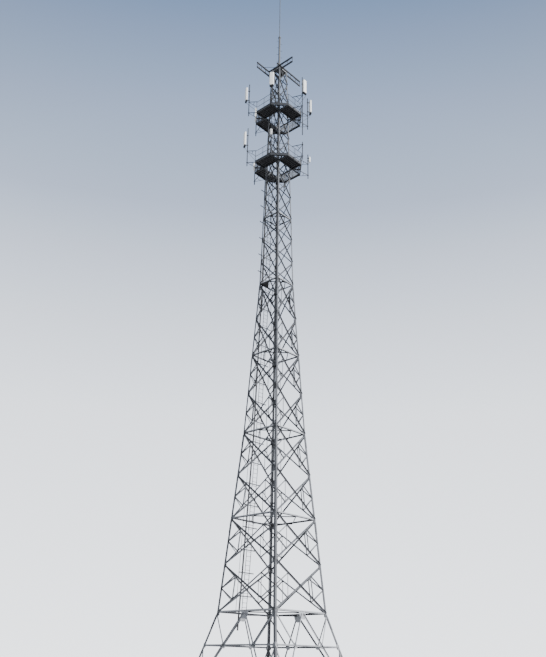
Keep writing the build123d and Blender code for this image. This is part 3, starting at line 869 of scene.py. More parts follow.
def bracing(sizes):
    """The angle bars of all four sides, one piece for each zone, and their bolts."""
    points = Points()
    for quarter, side_name in enumerate(SIDES):
        stand = sizes.rack_stand if quarter == LEFT else sizes.stand
        points.turn_to(quarter)
        outer_bars = Solids(quarter)
        belts_made = (Solids(quarter), Solids(quarter))
        for zone in ZONES:
            solids = Solids(quarter)
            lattice_zone(solids, outer_bars, belts_made, points, zone, stand, sizes)
            # The middle and upper zones' angles get the dark zinc as painted shade
            finish = "steel" if zone == "lower" else "shaded_steel"
            solids.piece(
                f"{side_name}_{zone}_angles", finish, "galvanised_steel", f"{side_name}_{zone}_bracing"
            )
        # The outer diagonals get the dark zinc as painted shade
        outer_bars.piece(f"{side_name}_outer_diagonals", "shaded_steel", "galvanised_steel")
        # Outer belts: pale zinc as painted sunlight; inner belts: near-black grime as painted shade
        for made, name, finish in zip(belts_made, ("outer", "inner"), ("sunlit_pale_steel", "sooty_shaded_steel")):
            made.piece(f"{side_name}_{name}_belts", finish, "galvanised_steel")
        solids = Solids(quarter)
        plates = Solids(quarter)
        portal_zone(solids, plates, points, stand, sizes)
        # Portal angles: pale zinc as painted sunlight on the front and right sides, dark zinc as painted
        # shade on the others
        finish = "sunlit_near_steel" if quarter in SUNLIT_SIDES else "shaded_steel"
        solids.piece(f"{side_name}_portal_angles", finish, "galvanised_steel", f"{side_name}_portal_bracing")
        plates.piece(f"{side_name}_portal_plates", "sunlit_pale_steel", "galvanised_steel")
    return points


LEVEL_INSET = 0.012
LEVEL_CUT = 0.02
LEVEL_WIDTH = 0.032
LEVEL_STAND = 0.03
LEVEL_PLATE = [(-0.1, 0), (0.1, 0), (0.06, 0.09), (-0.06, 0.09)]


def level_bars(zone, belts, sizes):
    """The level bars inside the belts: a diamond between the middles of the sides."""
    solids = Solids()
    for height in belts:
        reach = half_at(height) - LEVEL_INSET
        for quarter in range(4):
            solids.turn_to(quarter)
            middle = Vector((0, -reach, height))
            start, end = trimmed(middle, Vector((reach, 0, height)), LEVEL_CUT)
            solids.angle(start, end, UP, LEVEL_WIDTH, -LEVEL_STAND, sizes.thickness)
            solids.plate(middle, TO_RIGHT, UP, LEVEL_PLATE, PLATE)
    # The level angles get the dark zinc as painted shade
    solids.piece(f"{zone}_level_angles", "shaded_steel", "galvanised_steel", f"{zone}_level_frames")


# Operators

class TOWER_OT_finishes(bpy.types.Operator):
    """Makes the finishes and puts them on the frame's own parts"""
    bl_idname = "tower.finishes"
    bl_label = "Finishes"

    def execute(self, context):
        colours = context.scene.tower_colours
        steel = steel_finish("steel", colours, 0.22, 0.75)
        steel_finish("bright_steel", colours, 0.10, 0.35)
        # Dark copy of the steel: painted shade
        steel_finish("shaded_steel", colours, 0.10, 0.35, tuple(colours.shade_zinc))
        # Near-black copy of the steel: painted shade on the inner belts; also the dark rack, ladder and arms
        steel_finish("sooty_shaded_steel", colours, 0.05, 0.10, tuple(colours.grime))
        # Pale copy of the steel: painted sunlight on the near sides' portal angles
        steel_finish("sunlit_near_steel", colours, 0.20, 0.50, tuple(colours.sunlit_pale_zinc))
        # Pale copy of the steel: painted sunlight on the outer belts; also the portal plates
        steel_finish("sunlit_pale_steel", colours, 0.10, 0.20, tuple(colours.sunlit_pale_zinc))
        deck = deck_finish(colours)
        shell_finish(colours)
        sheath = sheath_finish("cable_black", colours, 0.5)
        sheath_finish("cap_black", colours, 0.35)
        floor_finish(colours)
        for name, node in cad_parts.items():
            finish = steel
            if name.endswith("_deck") or name == "rest_platform":
                finish = deck
            elif name.endswith("_cables"):
                finish = sheath
            node.data.materials.clear()
            node.data.materials.append(finish)
        return {"FINISHED"}


class TOWER_OT_bracing(bpy.types.Operator):
    """Makes the angle bars of the four sides and the level frames, with their bolts"""
    bl_idname = "tower.bracing"
    bl_label = "Bracing"

    def execute(self, context):
        sizes = context.scene.tower_members
        fasteners = context.scene.tower_fasteners
        points = bracing(sizes)
        level_bars("lower", (RING, RING + BELT_PITCH), sizes)
        level_bars("middle", (WAIST, WAIST + BELT_PITCH), sizes)
        level_bars("upper", (SHOULDER, SHOULDER + BELT_PITCH), sizes)
        bolt_piece(points, "bracing_bolts", fasteners)
        return {"FINISHED"}


ANCHOR_HALF = 0.095
BASE_PLATE = 0.015
STIFFENER = 0.008
INNER_STIFFENER = [(-0.012, 0), (-0.078, 0), (-0.078, 0.02), (0.018, 0.16), (0.03, 0.16)]
OUTER_STIFFENER = [(0.012, 0.0), (0.12, 0.0), (0.12, 0.02), (0.08, 0.15), (0.065, 0.15)]


class TOWER_OT_feet(bpy.types.Operator):
    """Makes the stiffening plates of the feet and the anchor studs"""
    bl_idname = "tower.feet"
    bl_label = "Feet"

    def execute(self, context):
        fasteners = context.scene.tower_fasteners
        solids = Solids()
        studs = Points()
        for quarter in range(4):
            solids.turn_to(quarter)
            studs.turn_to(quarter)
            for x in (-ANCHOR_HALF, ANCHOR_HALF):
                for y in (-ANCHOR_HALF, ANCHOR_HALF):
                    studs.add(Vector((x, y, 0)) - AXIS, UP)
            heel = -half_at(BASE_PLATE)
            for across, normal in ((TO_RIGHT, TO_BACK), (TO_BACK, TO_RIGHT)):
                corner = Vector((heel, heel, BASE_PLATE)) + across * 0.006
                for outline, inset in ((INNER_STIFFENER, 0.036), (OUTER_STIFFENER, 0.012)):
                    solids.prism(outline, corner + normal * inset, normal * STIFFENER, across, UP)
        solids.piece("foot_stiffeners", "steel", "galvanised_steel")
        studs.piece(
            "anchor_studs", "stud", (fasteners.stud_radius, fasteners.stud_height),
            "bright_steel", "galvanised_steel",
        )
        return {"FINISHED"}


# Each cover angle ends a little below its joint
SPLICE_JOINTS = (
    RING, RING + BELT_PITCH, WAIST, WAIST + BELT_PITCH, SHOULDER, SHOULDER + BELT_PITCH,
    SHOULDER + 2 * BELT_PITCH, SHOULDER + 3 * BELT_PITCH,
)
SPLICE_LENGTH = 0.40
SPLICE_DROP = 0.06
SPLICE_SHARE = 0.92
SPLICE_THICKNESS = 0.005
SPLICE_ROWS = 7


class TOWER_OT_splices(bpy.types.Operator):
    """Makes the cover angles where the leg sections are bolted together"""
    bl_idname = "tower.splices"
    bl_label = "Leg splices"

    def execute(self, context):
        fasteners = context.scene.tower_fasteners
        solids = Solids()
        bolts = Points()
        for joint in SPLICE_JOINTS:
            high = joint - SPLICE_DROP
            low = high - SPLICE_LENGTH
            width = flange_at(low)[0] * SPLICE_SHARE
            lean = half_at(low) - half_at(high)
            along = Vector((lean, lean, SPLICE_LENGTH))
            for quarter in range(4):
                solids.turn_to(quarter)
                bolts.turn_to(quarter)
                corner = Vector((-half_at(low), -half_at(low), low))
                for across, normal in ((TO_RIGHT, -TO_BACK), (TO_BACK, -TO_RIGHT)):
                    outline = [
                        (-SPLICE_THICKNESS, 0), (width, 0), (width, SPLICE_THICKNESS),
                        (-SPLICE_THICKNESS, SPLICE_THICKNESS),
                    ]
                    solids.prism(outline, corner, along, across, normal)
                    for row in range(SPLICE_ROWS):
                        if row == SPLICE_ROWS // 2:
                            continue
                        foot = corner + along * ((row + 0.5) / SPLICE_ROWS) + normal * SPLICE_THICKNESS
                        for place in (0.35, 0.75):
                            bolts.add(foot + across * width * place, normal)
        solids.piece("leg_splices", "steel", "galvanised_steel")
        bolt_piece(bolts, "splice_bolts", fasteners)
        return {"FINISHED"}


RACK_ZONES = ((RING, WAIST), (WAIST, SHOULDER), (SHOULDER, HEAD))
# The rack's rails by lower end, upper end and place along the left side
RACK_RAILS = (
    (RING, WAIST, 0.395), (WAIST, SHOULDER, 0.380), (SHOULDER, HEAD, 0.240), (SHOULDER, 20.12, 0.375),
)
RACK_PITCH = 0.75
RACK_FIRST = 0.58
RACK_HIGH_REACH = 0.265
RACK_OUT = 0.012
RACK_RAIL_WIDTH = 0.020
RACK_BAR_WIDTH = 0.034
RACK_STAND = 0.0115
RACK_THICKNESS = 0.003
CABLE_TOP = 24.8
CABLE_CLAMP_OUT = 0.0367
CABLE_CLAMP = (0.096, 0.016, 0.004)
RUNG_PITCH = 0.15
RUNG_RADIUS = 0.007
RUNG_OUT = 0.034
LADDER_PLACE = -0.020
LADDER_HALF = 0.1085
LADDER_OUT = 0.0243
LADDER_RAIL_WIDTH = 0.011
LADDER_RAIL_DEPTH = 0.020


def rack_span(height):
    """How far a rack bar reaches from the middle of the side, to the back and to the front."""
    if height > LOWER_DECK:
        return RACK_HIGH_REACH, RACK_HIGH_REACH
    return 0.325, 0.575 if height > SHOULDER else 0.415


def cable_place(height):
    """Middle of the cable bundle at a height, along the left side."""
    if height < WAIST:
        return 0.220
    if height < SHOULDER:
        return 0.220 + 0.060 * (height - WAIST) / (SHOULDER - WAIST)
    return 0.280 - 0.080 * (height - SHOULDER) / (CABLE_TOP - SHOULDER)


class TOWER_OT_rack(bpy.types.Operator):
    """Makes the cable rack, its clamps and the climbing ladder"""
    bl_idname = "tower.rack"
    bl_label = "Rack and ladder"

    def execute(self, context):
        rack = Solids(LEFT)
        rails = Solids(LEFT)
        rungs = Points(LEFT)
        clamps = Points(LEFT)
        for low, high, place in RACK_RAILS:
            side = Side(low, high)
            rack.angle(
                side.spot(place, low + 0.010, RACK_OUT), side.spot(place, high - 0.006, RACK_OUT),
                side.normal, RACK_RAIL_WIDTH, RACK_STAND, RACK_THICKNESS,
            )
        for low, high in RACK_ZONES:
            side = Side(low, high)
            for count in range(math.ceil((high - low - RACK_FIRST) / RACK_PITCH)):
                height = low + RACK_FIRST + count * RACK_PITCH
                back, front = rack_span(height)
                rack.angle(
                    side.spot(-back, height, RACK_OUT), side.spot(front, height, RACK_OUT),
                    side.normal, RACK_BAR_WIDTH, RACK_STAND, RACK_THICKNESS, -1,
                )
                if height < CABLE_TOP:
                    clamps.add(
                        side.spot(cable_place(height), height, CABLE_CLAMP_OUT), side.normal, TO_RIGHT
                    )
            for hand in (-1, 1):
                place = LADDER_PLACE + hand * LADDER_HALF
                rails.flat(
                    side.spot(place, low + 0.006, LADDER_OUT), side.spot(place, high - 0.006, LADDER_OUT),
                    side.normal, LADDER_RAIL_WIDTH, LADDER_RAIL_DEPTH,
                )
            for count in range(int((high - low) / RUNG_PITCH)):
                height = low + RUNG_PITCH * (count + 0.5)
                rungs.add(side.spot(LADDER_PLACE - LADDER_HALF, height, RUNG_OUT), TO_RIGHT)
        rack.piece("rack_angles", "sooty_shaded_steel", "galvanised_steel", "cable_rack")
        rails.piece("ladder_rails", "sooty_shaded_steel", "galvanised_steel", "climbing_ladder")
        rungs.piece("ladder_rungs", "rod", (RUNG_RADIUS, 2 * LADDER_HALF), "sooty_shaded_steel", "galvanised_steel")
        clamps.piece("cable_clamps", "block", CABLE_CLAMP, "bright_steel", "galvanised_steel")
        return {"FINISHED"}


def octagon_points(inset, height):
    """Corners of a platform's outline, drawn in by an inset."""
    far = DECK_HALF - inset
    near = DECK_FLAT - inset * math.tan(math.radians(22.5))
    ring = (
        (near, -far), (far, -near), (far, near), (near, far), (-near, far), (-far, near), (-far, -near),
        (-near, -far),
    )
    return [Vector((x, y, height)) for x, y in ring]


BEAM_WIDTH = 0.026
BEAM_WALL = 0.004
CORNER_BEAM_WIDTH = 0.024
CROSS_RISE = 0.052
CROSS_WIDTH = 0.024
CROSS_STAND = 0.022
CROSS_THICKNESS = 0.003
PLATED_SIDES = (0, 1, 3)
OPEN_CORNERS = (0, 1, 3)
GRATING_PITCH = 0.036
GRATING_REACH = 8
GRATING_ROOT = 0.628
GRATING_EDGE = 0.936
GRATING_WIDTH = 0.005
GRATING_HEIGHT = 0.014
BACK_GRATING_PITCH = 0.034
BACK_GRATING_WIDTH = 0.004
BACK_GRATING_HEIGHT = 0.022
RIB_WIDTH = 0.005
RIB_HEIGHT = 0.030
REST_RIBS = 6
REST_RIB_WIDTH = 0.012
REST_RIB_HEIGHT = 0.006


def platform_beams(name, deck):
    """Edge beams, cross beams and corner bars of one platform."""
    solids = Solids()
    low = deck - DECK_THICKNESS - BEAM_HEIGHT
    ring = octagon_points(0, low)
    for start, end in zip(ring, ring[1:] + ring[:1]):
        outward = (start + end).normalized()
        outward.z = 0
        solids.channel(start, end, outward.normalized(), BEAM_HEIGHT, BEAM_WIDTH, BEAM_WALL)
    reach = DECK_HALF - 0.012
    inset = -DECK_FLAT - 0.015
    for quarter in range(4):
        solids.turn_to(quarter)
        solids.channel(
            Vector((-reach, inset, low + 0.002)), Vector((reach, inset, low + 0.002)),
            -TO_BACK, BEAM_HEIGHT - 0.004, BEAM_WIDTH, BEAM_WALL,
        )
        root = half_at(low) + 0.004
        tip = (DECK_HALF + DECK_FLAT) / 2 - 0.012
        solids.channel(
            Vector((root, -root, low + 0.001)), Vector((tip, -tip, low + 0.001)),
            Vector((1, 1, 0)).normalized(), BEAM_HEIGHT - 0.002, CORNER_BEAM_WIDTH, BEAM_WALL,
        )
        for span in (DECK_HALF - 0.16, DECK_FLAT + 0.17):
            solids.angle(
                Vector((DECK_FLAT + 0.01, -span, low + CROSS_RISE)),
                Vector((span, -DECK_FLAT - 0.01, low + CROSS_RISE)), UP, CROSS_WIDTH, -CROSS_STAND,
                CROSS_THICKNESS,
            )
    # The beams get the dark zinc as painted shade
    solids.piece(f"{name}_platform_beams", "shaded_steel", "galvanised_steel", f"{name}_platform_frame")


def platform_deck(name, deck, sizes):
    """Gratings over the open corners and the back, and plates with ribs on the rest of one platform."""
    grating = Solids()
    outward = Vector((1, -1, 0)) * math.sqrt(0.5)
    sideways = Vector((1, 1, 0)) * math.sqrt(0.5)
    for quarter in OPEN_CORNERS:
        grating.turn_to(quarter)
        for number in range(2 * GRATING_REACH):
            across = (number + 0.5 - GRATING_REACH) * GRATING_PITCH
            near = GRATING_ROOT + abs(across)
            middle = outward * (near + GRATING_EDGE) / 2 + sideways * across
            middle += UP * (deck - DECK_THICKNESS - GRATING_HEIGHT / 2)
            grating.block(middle, (GRATING_EDGE - near, GRATING_WIDTH, GRATING_HEIGHT), -45)
    grating.piece(f"{name}_corner_grating", "deck_steel", "dark_steel")
    plates = Solids()
    outer = DECK_HALF - 0.025
    for quarter in PLATED_SIDES:
        plates.turn_to(quarter)
        plates.block(
            Vector((0, -(outer + DECK_FLAT) / 2, deck - DECK_THICKNESS / 2)),
            (2 * DECK_FLAT - 0.01, outer - DECK_FLAT, DECK_THICKNESS),
        )
    plates.turn_to(FRONT)
    edge = DECK_FLAT + 0.005
    far = DECK_HALF + DECK_FLAT - 0.035 - edge
    plates.plate(
        Vector((0, 0, deck - DECK_THICKNESS)), TO_RIGHT, UP,
        [(-edge, edge), (-edge, far), (-far, edge)], DECK_THICKNESS,
    )
    plates.piece(f"{name}_deck_plates", "deck_steel", "dark_steel", f"{name}_platform_deck")
    bars = Points()
    count = int((2 * DECK_FLAT - 0.03) / BACK_GRATING_PITCH)
    for number in range(count + 1):
        x = (number - count / 2) * BACK_GRATING_PITCH
        bars.add(Vector((x, (outer + DECK_FLAT) / 2, deck - BACK_GRATING_HEIGHT)), UP, TO_BACK)
    bars.piece(
        f"{name}_back_grating", "block",
        (outer - DECK_FLAT - 0.004, BACK_GRATING_WIDTH, BACK_GRATING_HEIGHT), "bright_steel", "dark_steel",
    )
    joists = Points()
    span = DECK_HALF - DECK_FLAT - 0.036
    low = deck - DECK_THICKNESS - RIB_HEIGHT - 0.001
    for quarter in PLATED_SIDES:
        joists.turn_to(quarter)
        count = int(2 * (DECK_FLAT - 0.03) / sizes.joist_gap)
        for number in range(count + 1):
            x = (number - count / 2) * sizes.joist_gap
            joists.add(Vector((x, -(DECK_HALF + DECK_FLAT) / 2, low)), UP, TO_BACK)
    joists.piece(f"{name}_deck_ribs", "block", (span, RIB_WIDTH, RIB_HEIGHT), "deck_steel", "dark_steel")


POST = 0.016
KICK_RISE = 0.03
KICK_HEIGHT = 0.055


def railing(name, deck, sizes):
    """Posts, rails, kick plates and thin uprights round one platform."""
    solids = Solids()
    bars = Points()
    middle = deck - DECK_THICKNESS + (RAIL_HEIGHT + DECK_THICKNESS) / 2 - 0.004
    ring = octagon_points(0.010, 0)
    for start, end in zip(ring, ring[1:] + ring[:1]):
        for level in (RAIL_HEIGHT - 0.008, RAIL_HEIGHT / 2 - 0.008):
            solids.rod(start + UP * (deck + level), end + UP * (deck + level), sizes.rail_radius)
        solids.flat(
            start + UP * (deck + KICK_RISE), end + UP * (deck + KICK_RISE), (start + end).normalized(),
            KICK_HEIGHT, 0.003,
        )
        outward = (start + end).normalized()
        for share in (0.0, 0.5):
            place = start.lerp(end, share)
            solids.block(
                place + UP * middle, (POST, POST, RAIL_HEIGHT - 0.004),
                math.degrees(math.atan2(outward.y, outward.x)),
            )
        count = round((end - start).length / sizes.baluster_gap)
        for number in range(1, count):
            bars.add(start.lerp(end, number / count) + UP * (deck + KICK_RISE), UP)
    # The tubes get the dark zinc as painted shade
    solids.piece(f"{name}_railing_tubes", "shaded_steel", "galvanised_steel", f"{name}_platform_railing")
    bars.piece(
        f"{name}_railing_bars", "rod", (sizes.baluster_radius, RAIL_HEIGHT - 0.04), "bright_steel",
        "galvanised_steel",
    )


class TOWER_OT_platforms(bpy.types.Operator):
    """Makes the beams, decks and railings of the two platforms, and the rest platform's ribs"""
    bl_idname = "tower.platforms"
    bl_label = "Platforms"

    def execute(self, context):
        sizes = context.scene.tower_platforms
        for name, deck in (("lower", LOWER_DECK), ("upper", UPPER_DECK)):
            platform_beams(name, deck)
            platform_deck(name, deck, sizes)
            railing(name, deck, sizes)
        edge = half_at(SHOULDER + 0.02) - 0.030
        ribs = Solids()
        for number in range(REST_RIBS):
            length = edge * (number + 0.5) / REST_RIBS
            middle = Vector((-length, -edge + length / 2, SHOULDER + 0.0165))
            ribs.block(middle, (REST_RIB_WIDTH, length, REST_RIB_HEIGHT))
        ribs.piece("rest_platform_ribs", "deck_steel", "dark_steel")
        return {"FINISHED"}


POLE_REACH = 1.350
POLE_RADIUS = 0.019
BRACKET_SPREAD = 0.18
SHORT_DROP = 0.22
LONG_DROP = 1.58
BARE_RISE = RAIL_HEIGHT + 0.11
ANTENNA_POLE_MARGIN = 0.26
RADIO_POLE_MARGIN = 0.12
UPPER_ANTENNA_RISE = 0.50
BACK_ANTENNA_RISE = 0.645
LOWER_ANTENNA_RISE = 0.715
ANTENNA_WIDTH = 0.185
ANTENNA_DEPTH = 0.078
ANTENNA_HEIGHT = 0.74
ANTENNA_STAND = 0.075
RADIO_WIDTH = 0.090
RADIO_DEPTH = 0.060
RADIO_HEIGHT = 0.26
LONG_RADIO_HEIGHT = 0.68
SHORT_RADIO_HEIGHT = 0.37
RAIL_RADIO_DROP = 0.19
RADIO_RISE = 0.64
RADIO_STAND = 0.030

LOWER_ANTENNA_POLE = LOWER_ANTENNA_RISE + ANTENNA_HEIGHT + ANTENNA_POLE_MARGIN
UPPER_ANTENNA_POLE = UPPER_ANTENNA_RISE + ANTENNA_HEIGHT + ANTENNA_POLE_MARGIN
RADIO_POLE = RADIO_RISE + RADIO_HEIGHT + RADIO_POLE_MARGIN

# Each platform's poles by direction, drop below the deck and rise above it
POLES = {
    "lower": (
        LOWER_DECK,
        (
            (FRONT_LEFT_POLE, SHORT_DROP, LOWER_ANTENNA_POLE), (FRONT_RIGHT_POLE, SHORT_DROP, RADIO_POLE),
            (BACK_RIGHT_POLE, SHORT_DROP, RADIO_POLE), (RIGHT_POLE, SHORT_DROP, BARE_RISE),
            (BACK_LEFT_POLE, SHORT_DROP, BARE_RISE), (LEFT_POLE, SHORT_DROP, BARE_RISE),
        ),
    ),
    "upper": (
        UPPER_DECK,
        (
            (FRONT_LEFT_POLE, SHORT_DROP, UPPER_ANTENNA_POLE),
            (FRONT_RIGHT_POLE, SHORT_DROP, UPPER_ANTENNA_POLE),
            (BACK_RIGHT_POLE, SHORT_DROP, UPPER_ANTENNA_POLE),
            (RIGHT_POLE, LONG_DROP, UPPER_ANTENNA_POLE), (LEFT_POLE, SHORT_DROP, BARE_RISE),
        ),
    ),
}


def octagon_reach(angle):
    """Distance from the axis to a platform's edge in a direction."""
    turn = math.radians(angle)
    x, y = abs(math.cos(turn)), abs(math.sin(turn))
    return min(DECK_HALF / max(x, y), (DECK_HALF + DECK_FLAT) / (x + y))


def share_inside(inner, along):
    """How much of a line that starts inside a platform's edge lies inside it, to a hundredth."""
    for share in (number / 100 for number in range(100)):
        place = inner + along * share
        if place.length > octagon_reach(math.degrees(math.atan2(place.y, place.x))):
            return share
    return 1.0


ARM_ANGLE = 0.022
ARM_STAND = 0.019
ARM_TIE_WIDTH = 0.018
POLE_PLATE = (0.056, 0.052, 0.006)
POLE_SIDES = 18


def pole_with_arms(solids, bolts, deck, angle, drop, rise):
    """An upright pole outside a platform, on two pairs of braced arms."""
    outward = around(angle, 1)
    side_way = around(angle, 0, 1)
    pole = around(angle, POLE_REACH)
    for level in (deck - DECK_THICKNESS - BEAM_HEIGHT, deck + RAIL_HEIGHT - 0.020):
        ties = []
        for hand in (-1, 1):
            inner = around(angle, DECK_HALF - 0.02, hand * BRACKET_SPREAD)
            tip = around(angle, POLE_REACH - 0.010, hand * 0.012)
            along = tip - inner
            root = inner + along * share_inside(inner, along) + UP * (level + 0.001)
            tip = tip + UP * (level + 0.001)
            solids.angle(root, tip, UP, ARM_ANGLE, ARM_STAND, PLATE, hand)
            ties.append(root.lerp(tip, 0.40))
            bolts.add(root.lerp(tip, 0.08) + UP * PLATE, UP)
        solids.flat(*ties, UP, ARM_TIE_WIDTH, 0.004)
        for lift in (0.001, 0.0155):
            solids.block(pole + UP * (level + lift), POLE_PLATE, angle)
        for hand in (-1, 1):
            place = pole + outward * 0.028 + side_way * hand * 0.018
            bolts.add(place + UP * (level + 0.007), outward, side_way)
    solids.rod(pole + UP * (deck - drop), pole + UP * (deck + rise), POLE_RADIUS, POLE_SIDES)
    for cap in (deck - drop + 0.001, deck + rise - 0.006):
        solids.rod(pole + UP * cap, pole + UP * (cap + 0.005), POLE_RADIUS + 0.0015, POLE_SIDES)


class TOWER_OT_brackets(bpy.types.Operator):
    """Makes the antenna poles and the braced arms that hold them"""
    bl_idname = "tower.brackets"
    bl_label = "Antenna brackets"

    def execute(self, context):
        fasteners = context.scene.tower_fasteners
        bolts = Points()
        for name, (deck, poles) in POLES.items():
            solids = Solids()
            for pole in poles:
                pole_with_arms(solids, bolts, deck, *pole)
            solids.piece(
                f"{name}_bracket_arms", "sooty_shaded_steel", "galvanised_steel", f"{name}_antenna_brackets"
            )
        bolt_piece(bolts, "bracket_bolts", fasteners, 0.8)
        return {"FINISHED"}


# The antennas by direction and lower end
ANTENNAS = (
    (BACK_RIGHT_POLE, UPPER_DECK + BACK_ANTENNA_RISE),
    (RIGHT_POLE, UPPER_DECK + UPPER_ANTENNA_RISE),
    (FRONT_RIGHT_POLE, UPPER_DECK + UPPER_ANTENNA_RISE),
    (FRONT_LEFT_POLE, UPPER_DECK + UPPER_ANTENNA_RISE),
    (FRONT_LEFT_POLE, LOWER_DECK + LOWER_ANTENNA_RISE),
)
CLAMP_INSET = 0.09
CLAMP_HEIGHT = 0.040
CLAMP_WIDTH = 0.060
CAP_HEIGHT = 0.075
SHELL_ROUND = 0.034
SHELL_CORNER = 0.008
PLUG_COUNT = 4
PLUG_PITCH = 0.036
PLUG_RADIUS = 0.0085


def shell_outline(width, depth, radius, steps=5):
    """Outline of a housing: flat at the back with small corners, round at the front."""
    outline = []
    for centre_x, centre_y, corner, start in (
        (depth / 2 - radius, -(width / 2 - radius), radius, -90),
        (depth / 2 - radius, width / 2 - radius, radius, 0),
        (-depth / 2 + SHELL_CORNER, width / 2 - SHELL_CORNER, SHELL_CORNER, 90),
        (-depth / 2 + SHELL_CORNER, -(width / 2 - SHELL_CORNER), SHELL_CORNER, 180),
    ):
        for step in range(steps + 1):
            turn = math.radians(start + 90 * step / steps)
            outline.append((centre_x + corner * math.cos(turn), centre_y + corner * math.sin(turn)))
    return outline


def grown(outline, amount):
    """An outline scaled so that its sides move out by about an amount."""
    share = 1 + amount / max(abs(y) for x, y in outline)
    return [(x * share, y * share) for x, y in outline]


def clamp(solids, angle, level, stand, width):
    """A clamp that holds a housing on its pole: two jaws, two threaded rods and an arm."""
    outward = around(angle, 1)
    side_way = around(angle, 0, 1)
    edge = width / 2
    for near, far, low, high in (
        (POLE_RADIUS + 0.001, POLE_RADIUS + 0.007, 0.004, 0.036),
        (-POLE_RADIUS - 0.007, -POLE_RADIUS - 0.001, 0.004, 0.036),
        (POLE_RADIUS + 0.007, POLE_RADIUS + stand - 0.003, 0.012, 0.028),
        (POLE_RADIUS + stand - 0.004, POLE_RADIUS + stand, 0.0, CLAMP_HEIGHT),
    ):
        share = 0.55 if high - low < 0.02 else 1.0
        outline = [(near, -edge * share), (far, -edge * share), (far, edge * share), (near, edge * share)]
        foot = around(angle, POLE_REACH, 0, level + low)
        solids.prism(outline, foot, UP * (high - low), outward, side_way)
    for hand in (-1, 1):
        across = hand * (POLE_RADIUS + 0.006)
        start = around(angle, POLE_REACH - POLE_RADIUS - 0.016, across, level + CLAMP_HEIGHT / 2)
        solids.rod(start, start + outward * (2 * POLE_RADIUS + 0.032), 0.004, 8)


class TOWER_OT_antennas(bpy.types.Operator):
    """Makes the panel antennas with their end caps, plugs and clamps"""
    bl_idname = "tower.antennas"
    bl_label = "Panel antennas"

    def execute(self, context):
        shells = Solids()
        caps = Solids()
        clamps = Solids()
        outline = shell_outline(ANTENNA_WIDTH, ANTENNA_DEPTH, SHELL_ROUND)
        for angle, low in ANTENNAS:
            outward = around(angle, 1)
            side_way = around(angle, 0, 1)
            centre = around(angle, POLE_REACH + POLE_RADIUS + ANTENNA_STAND + ANTENNA_DEPTH / 2)
            top = low + ANTENNA_HEIGHT
            for solids, start, end, change in (
                (shells, low + CAP_HEIGHT, top - 0.028, 0.0), (shells, top - 0.030, top - 0.008, -0.002),
                (shells, top - 0.010, top, -0.012), (caps, low + 0.006, low + 0.002 + CAP_HEIGHT, -0.001),
                (caps, low, low + 0.008, -0.010),
            ):
                shape = grown(outline, change)
                solids.prism(shape, centre + UP * start, UP * (end - start), outward, side_way)
            for number in range(PLUG_COUNT):
                shift = (number - (PLUG_COUNT - 1) / 2) * PLUG_PITCH
                place = centre + side_way * shift - outward * 0.008
                caps.rod(place + UP * (low - 0.022), place + UP * (low + 0.002), PLUG_RADIUS)
            for level in (low + CLAMP_INSET, top - CLAMP_INSET - CLAMP_HEIGHT):
                clamp(clamps, angle, level, ANTENNA_STAND, CLAMP_WIDTH)
        shells.piece("antenna_shells", "antenna_white", "antenna_shell", "panel_antennas")
        caps.piece("antenna_caps", "cap_black", "cable_sheath")
        clamps.piece("antenna_clamps", "bright_steel", "galvanised_steel")
        return {"FINISHED"}


RAIL_RADIO_BACK = 0.9739
POLE_RADIO_BACK = POLE_REACH + POLE_RADIUS + RADIO_STAND

# The radio units by direction, distance of the back from the axis, lower end and height
RADIOS = (
    (RAILING_CORNER, RAIL_RADIO_BACK, UPPER_DECK - RAIL_RADIO_DROP, LONG_RADIO_HEIGHT),
    (RAILING_CORNER, RAIL_RADIO_BACK, LOWER_DECK - RAIL_RADIO_DROP, SHORT_RADIO_HEIGHT),
    (FRONT_RIGHT_POLE, POLE_RADIO_BACK, LOWER_DECK + RADIO_RISE, RADIO_HEIGHT),
    (BACK_RIGHT_POLE, POLE_RADIO_BACK, LOWER_DECK + RADIO_RISE, RADIO_HEIGHT),
)
RADIO_ROUND = 0.014
RADIO_CLAMP_INSET = 0.040
RADIO_CLAMP_WIDTH = 0.056
FIN_COUNT = 7
FIN_PITCH = 0.0115
FIN_LENGTH = 0.23
FIN_THICKNESS = 0.003
FIN_DEPTH = 0.015
PORT_PITCH = 0.026
PORT_RADIUS = 0.006


class TOWER_OT_radios(bpy.types.Operator):
    """Makes the radio units with their cooling fins, ports and clamps"""
    bl_idname = "tower.radios"
    bl_label = "Radio units"

    def execute(self, context):
        bodies = Solids()
        fins = Points()
        ports = Solids()
        clamps = Solids()
        for angle, back, low, height in RADIOS:
            outward = around(angle, 1)
            across = around(angle, 0, 1)
            centre = around(angle, back + RADIO_DEPTH / 2, 0, low)
            outline = shell_outline(RADIO_WIDTH, RADIO_DEPTH - 0.014, RADIO_ROUND, 3)
            bodies.prism(outline, centre - outward * 0.007, UP * height, outward, across)
            rows = round(height / RADIO_HEIGHT)
            for row in range(rows):
                for number in range(FIN_COUNT):
                    place = centre + across * (number - FIN_COUNT // 2) * FIN_PITCH
                    place += outward * (RADIO_DEPTH / 2 - FIN_DEPTH - 0.0005)
                    fins.add(place + UP * (height * (row + 0.5) / rows), outward, UP)
            for hand in (-1, 0, 1):
                foot = centre + across * hand * PORT_PITCH
                ports.rod(foot - UP * 0.014, foot + UP * 0.002, PORT_RADIUS)
            if back == POLE_RADIO_BACK:
                for level in (low + RADIO_CLAMP_INSET, low + height - RADIO_CLAMP_INSET - CLAMP_HEIGHT):
                    clamp(clamps, angle, level, RADIO_STAND, RADIO_CLAMP_WIDTH)
        bodies.piece("radio_bodies", "antenna_white", "antenna_shell", "radio_units")
        fins.piece(
            "radio_fins", "block", (FIN_LENGTH, FIN_THICKNESS, FIN_DEPTH), "antenna_white", "antenna_shell"
        )
        clamps.piece("radio_clamps", "bright_steel", "galvanised_steel")
        ports.piece("radio_ports", "cap_black", "cable_sheath")
        return {"FINISHED"}


ARM_RISE = 0.25
ARM_WIDTH = 0.056
ARM_BEND = 0.006
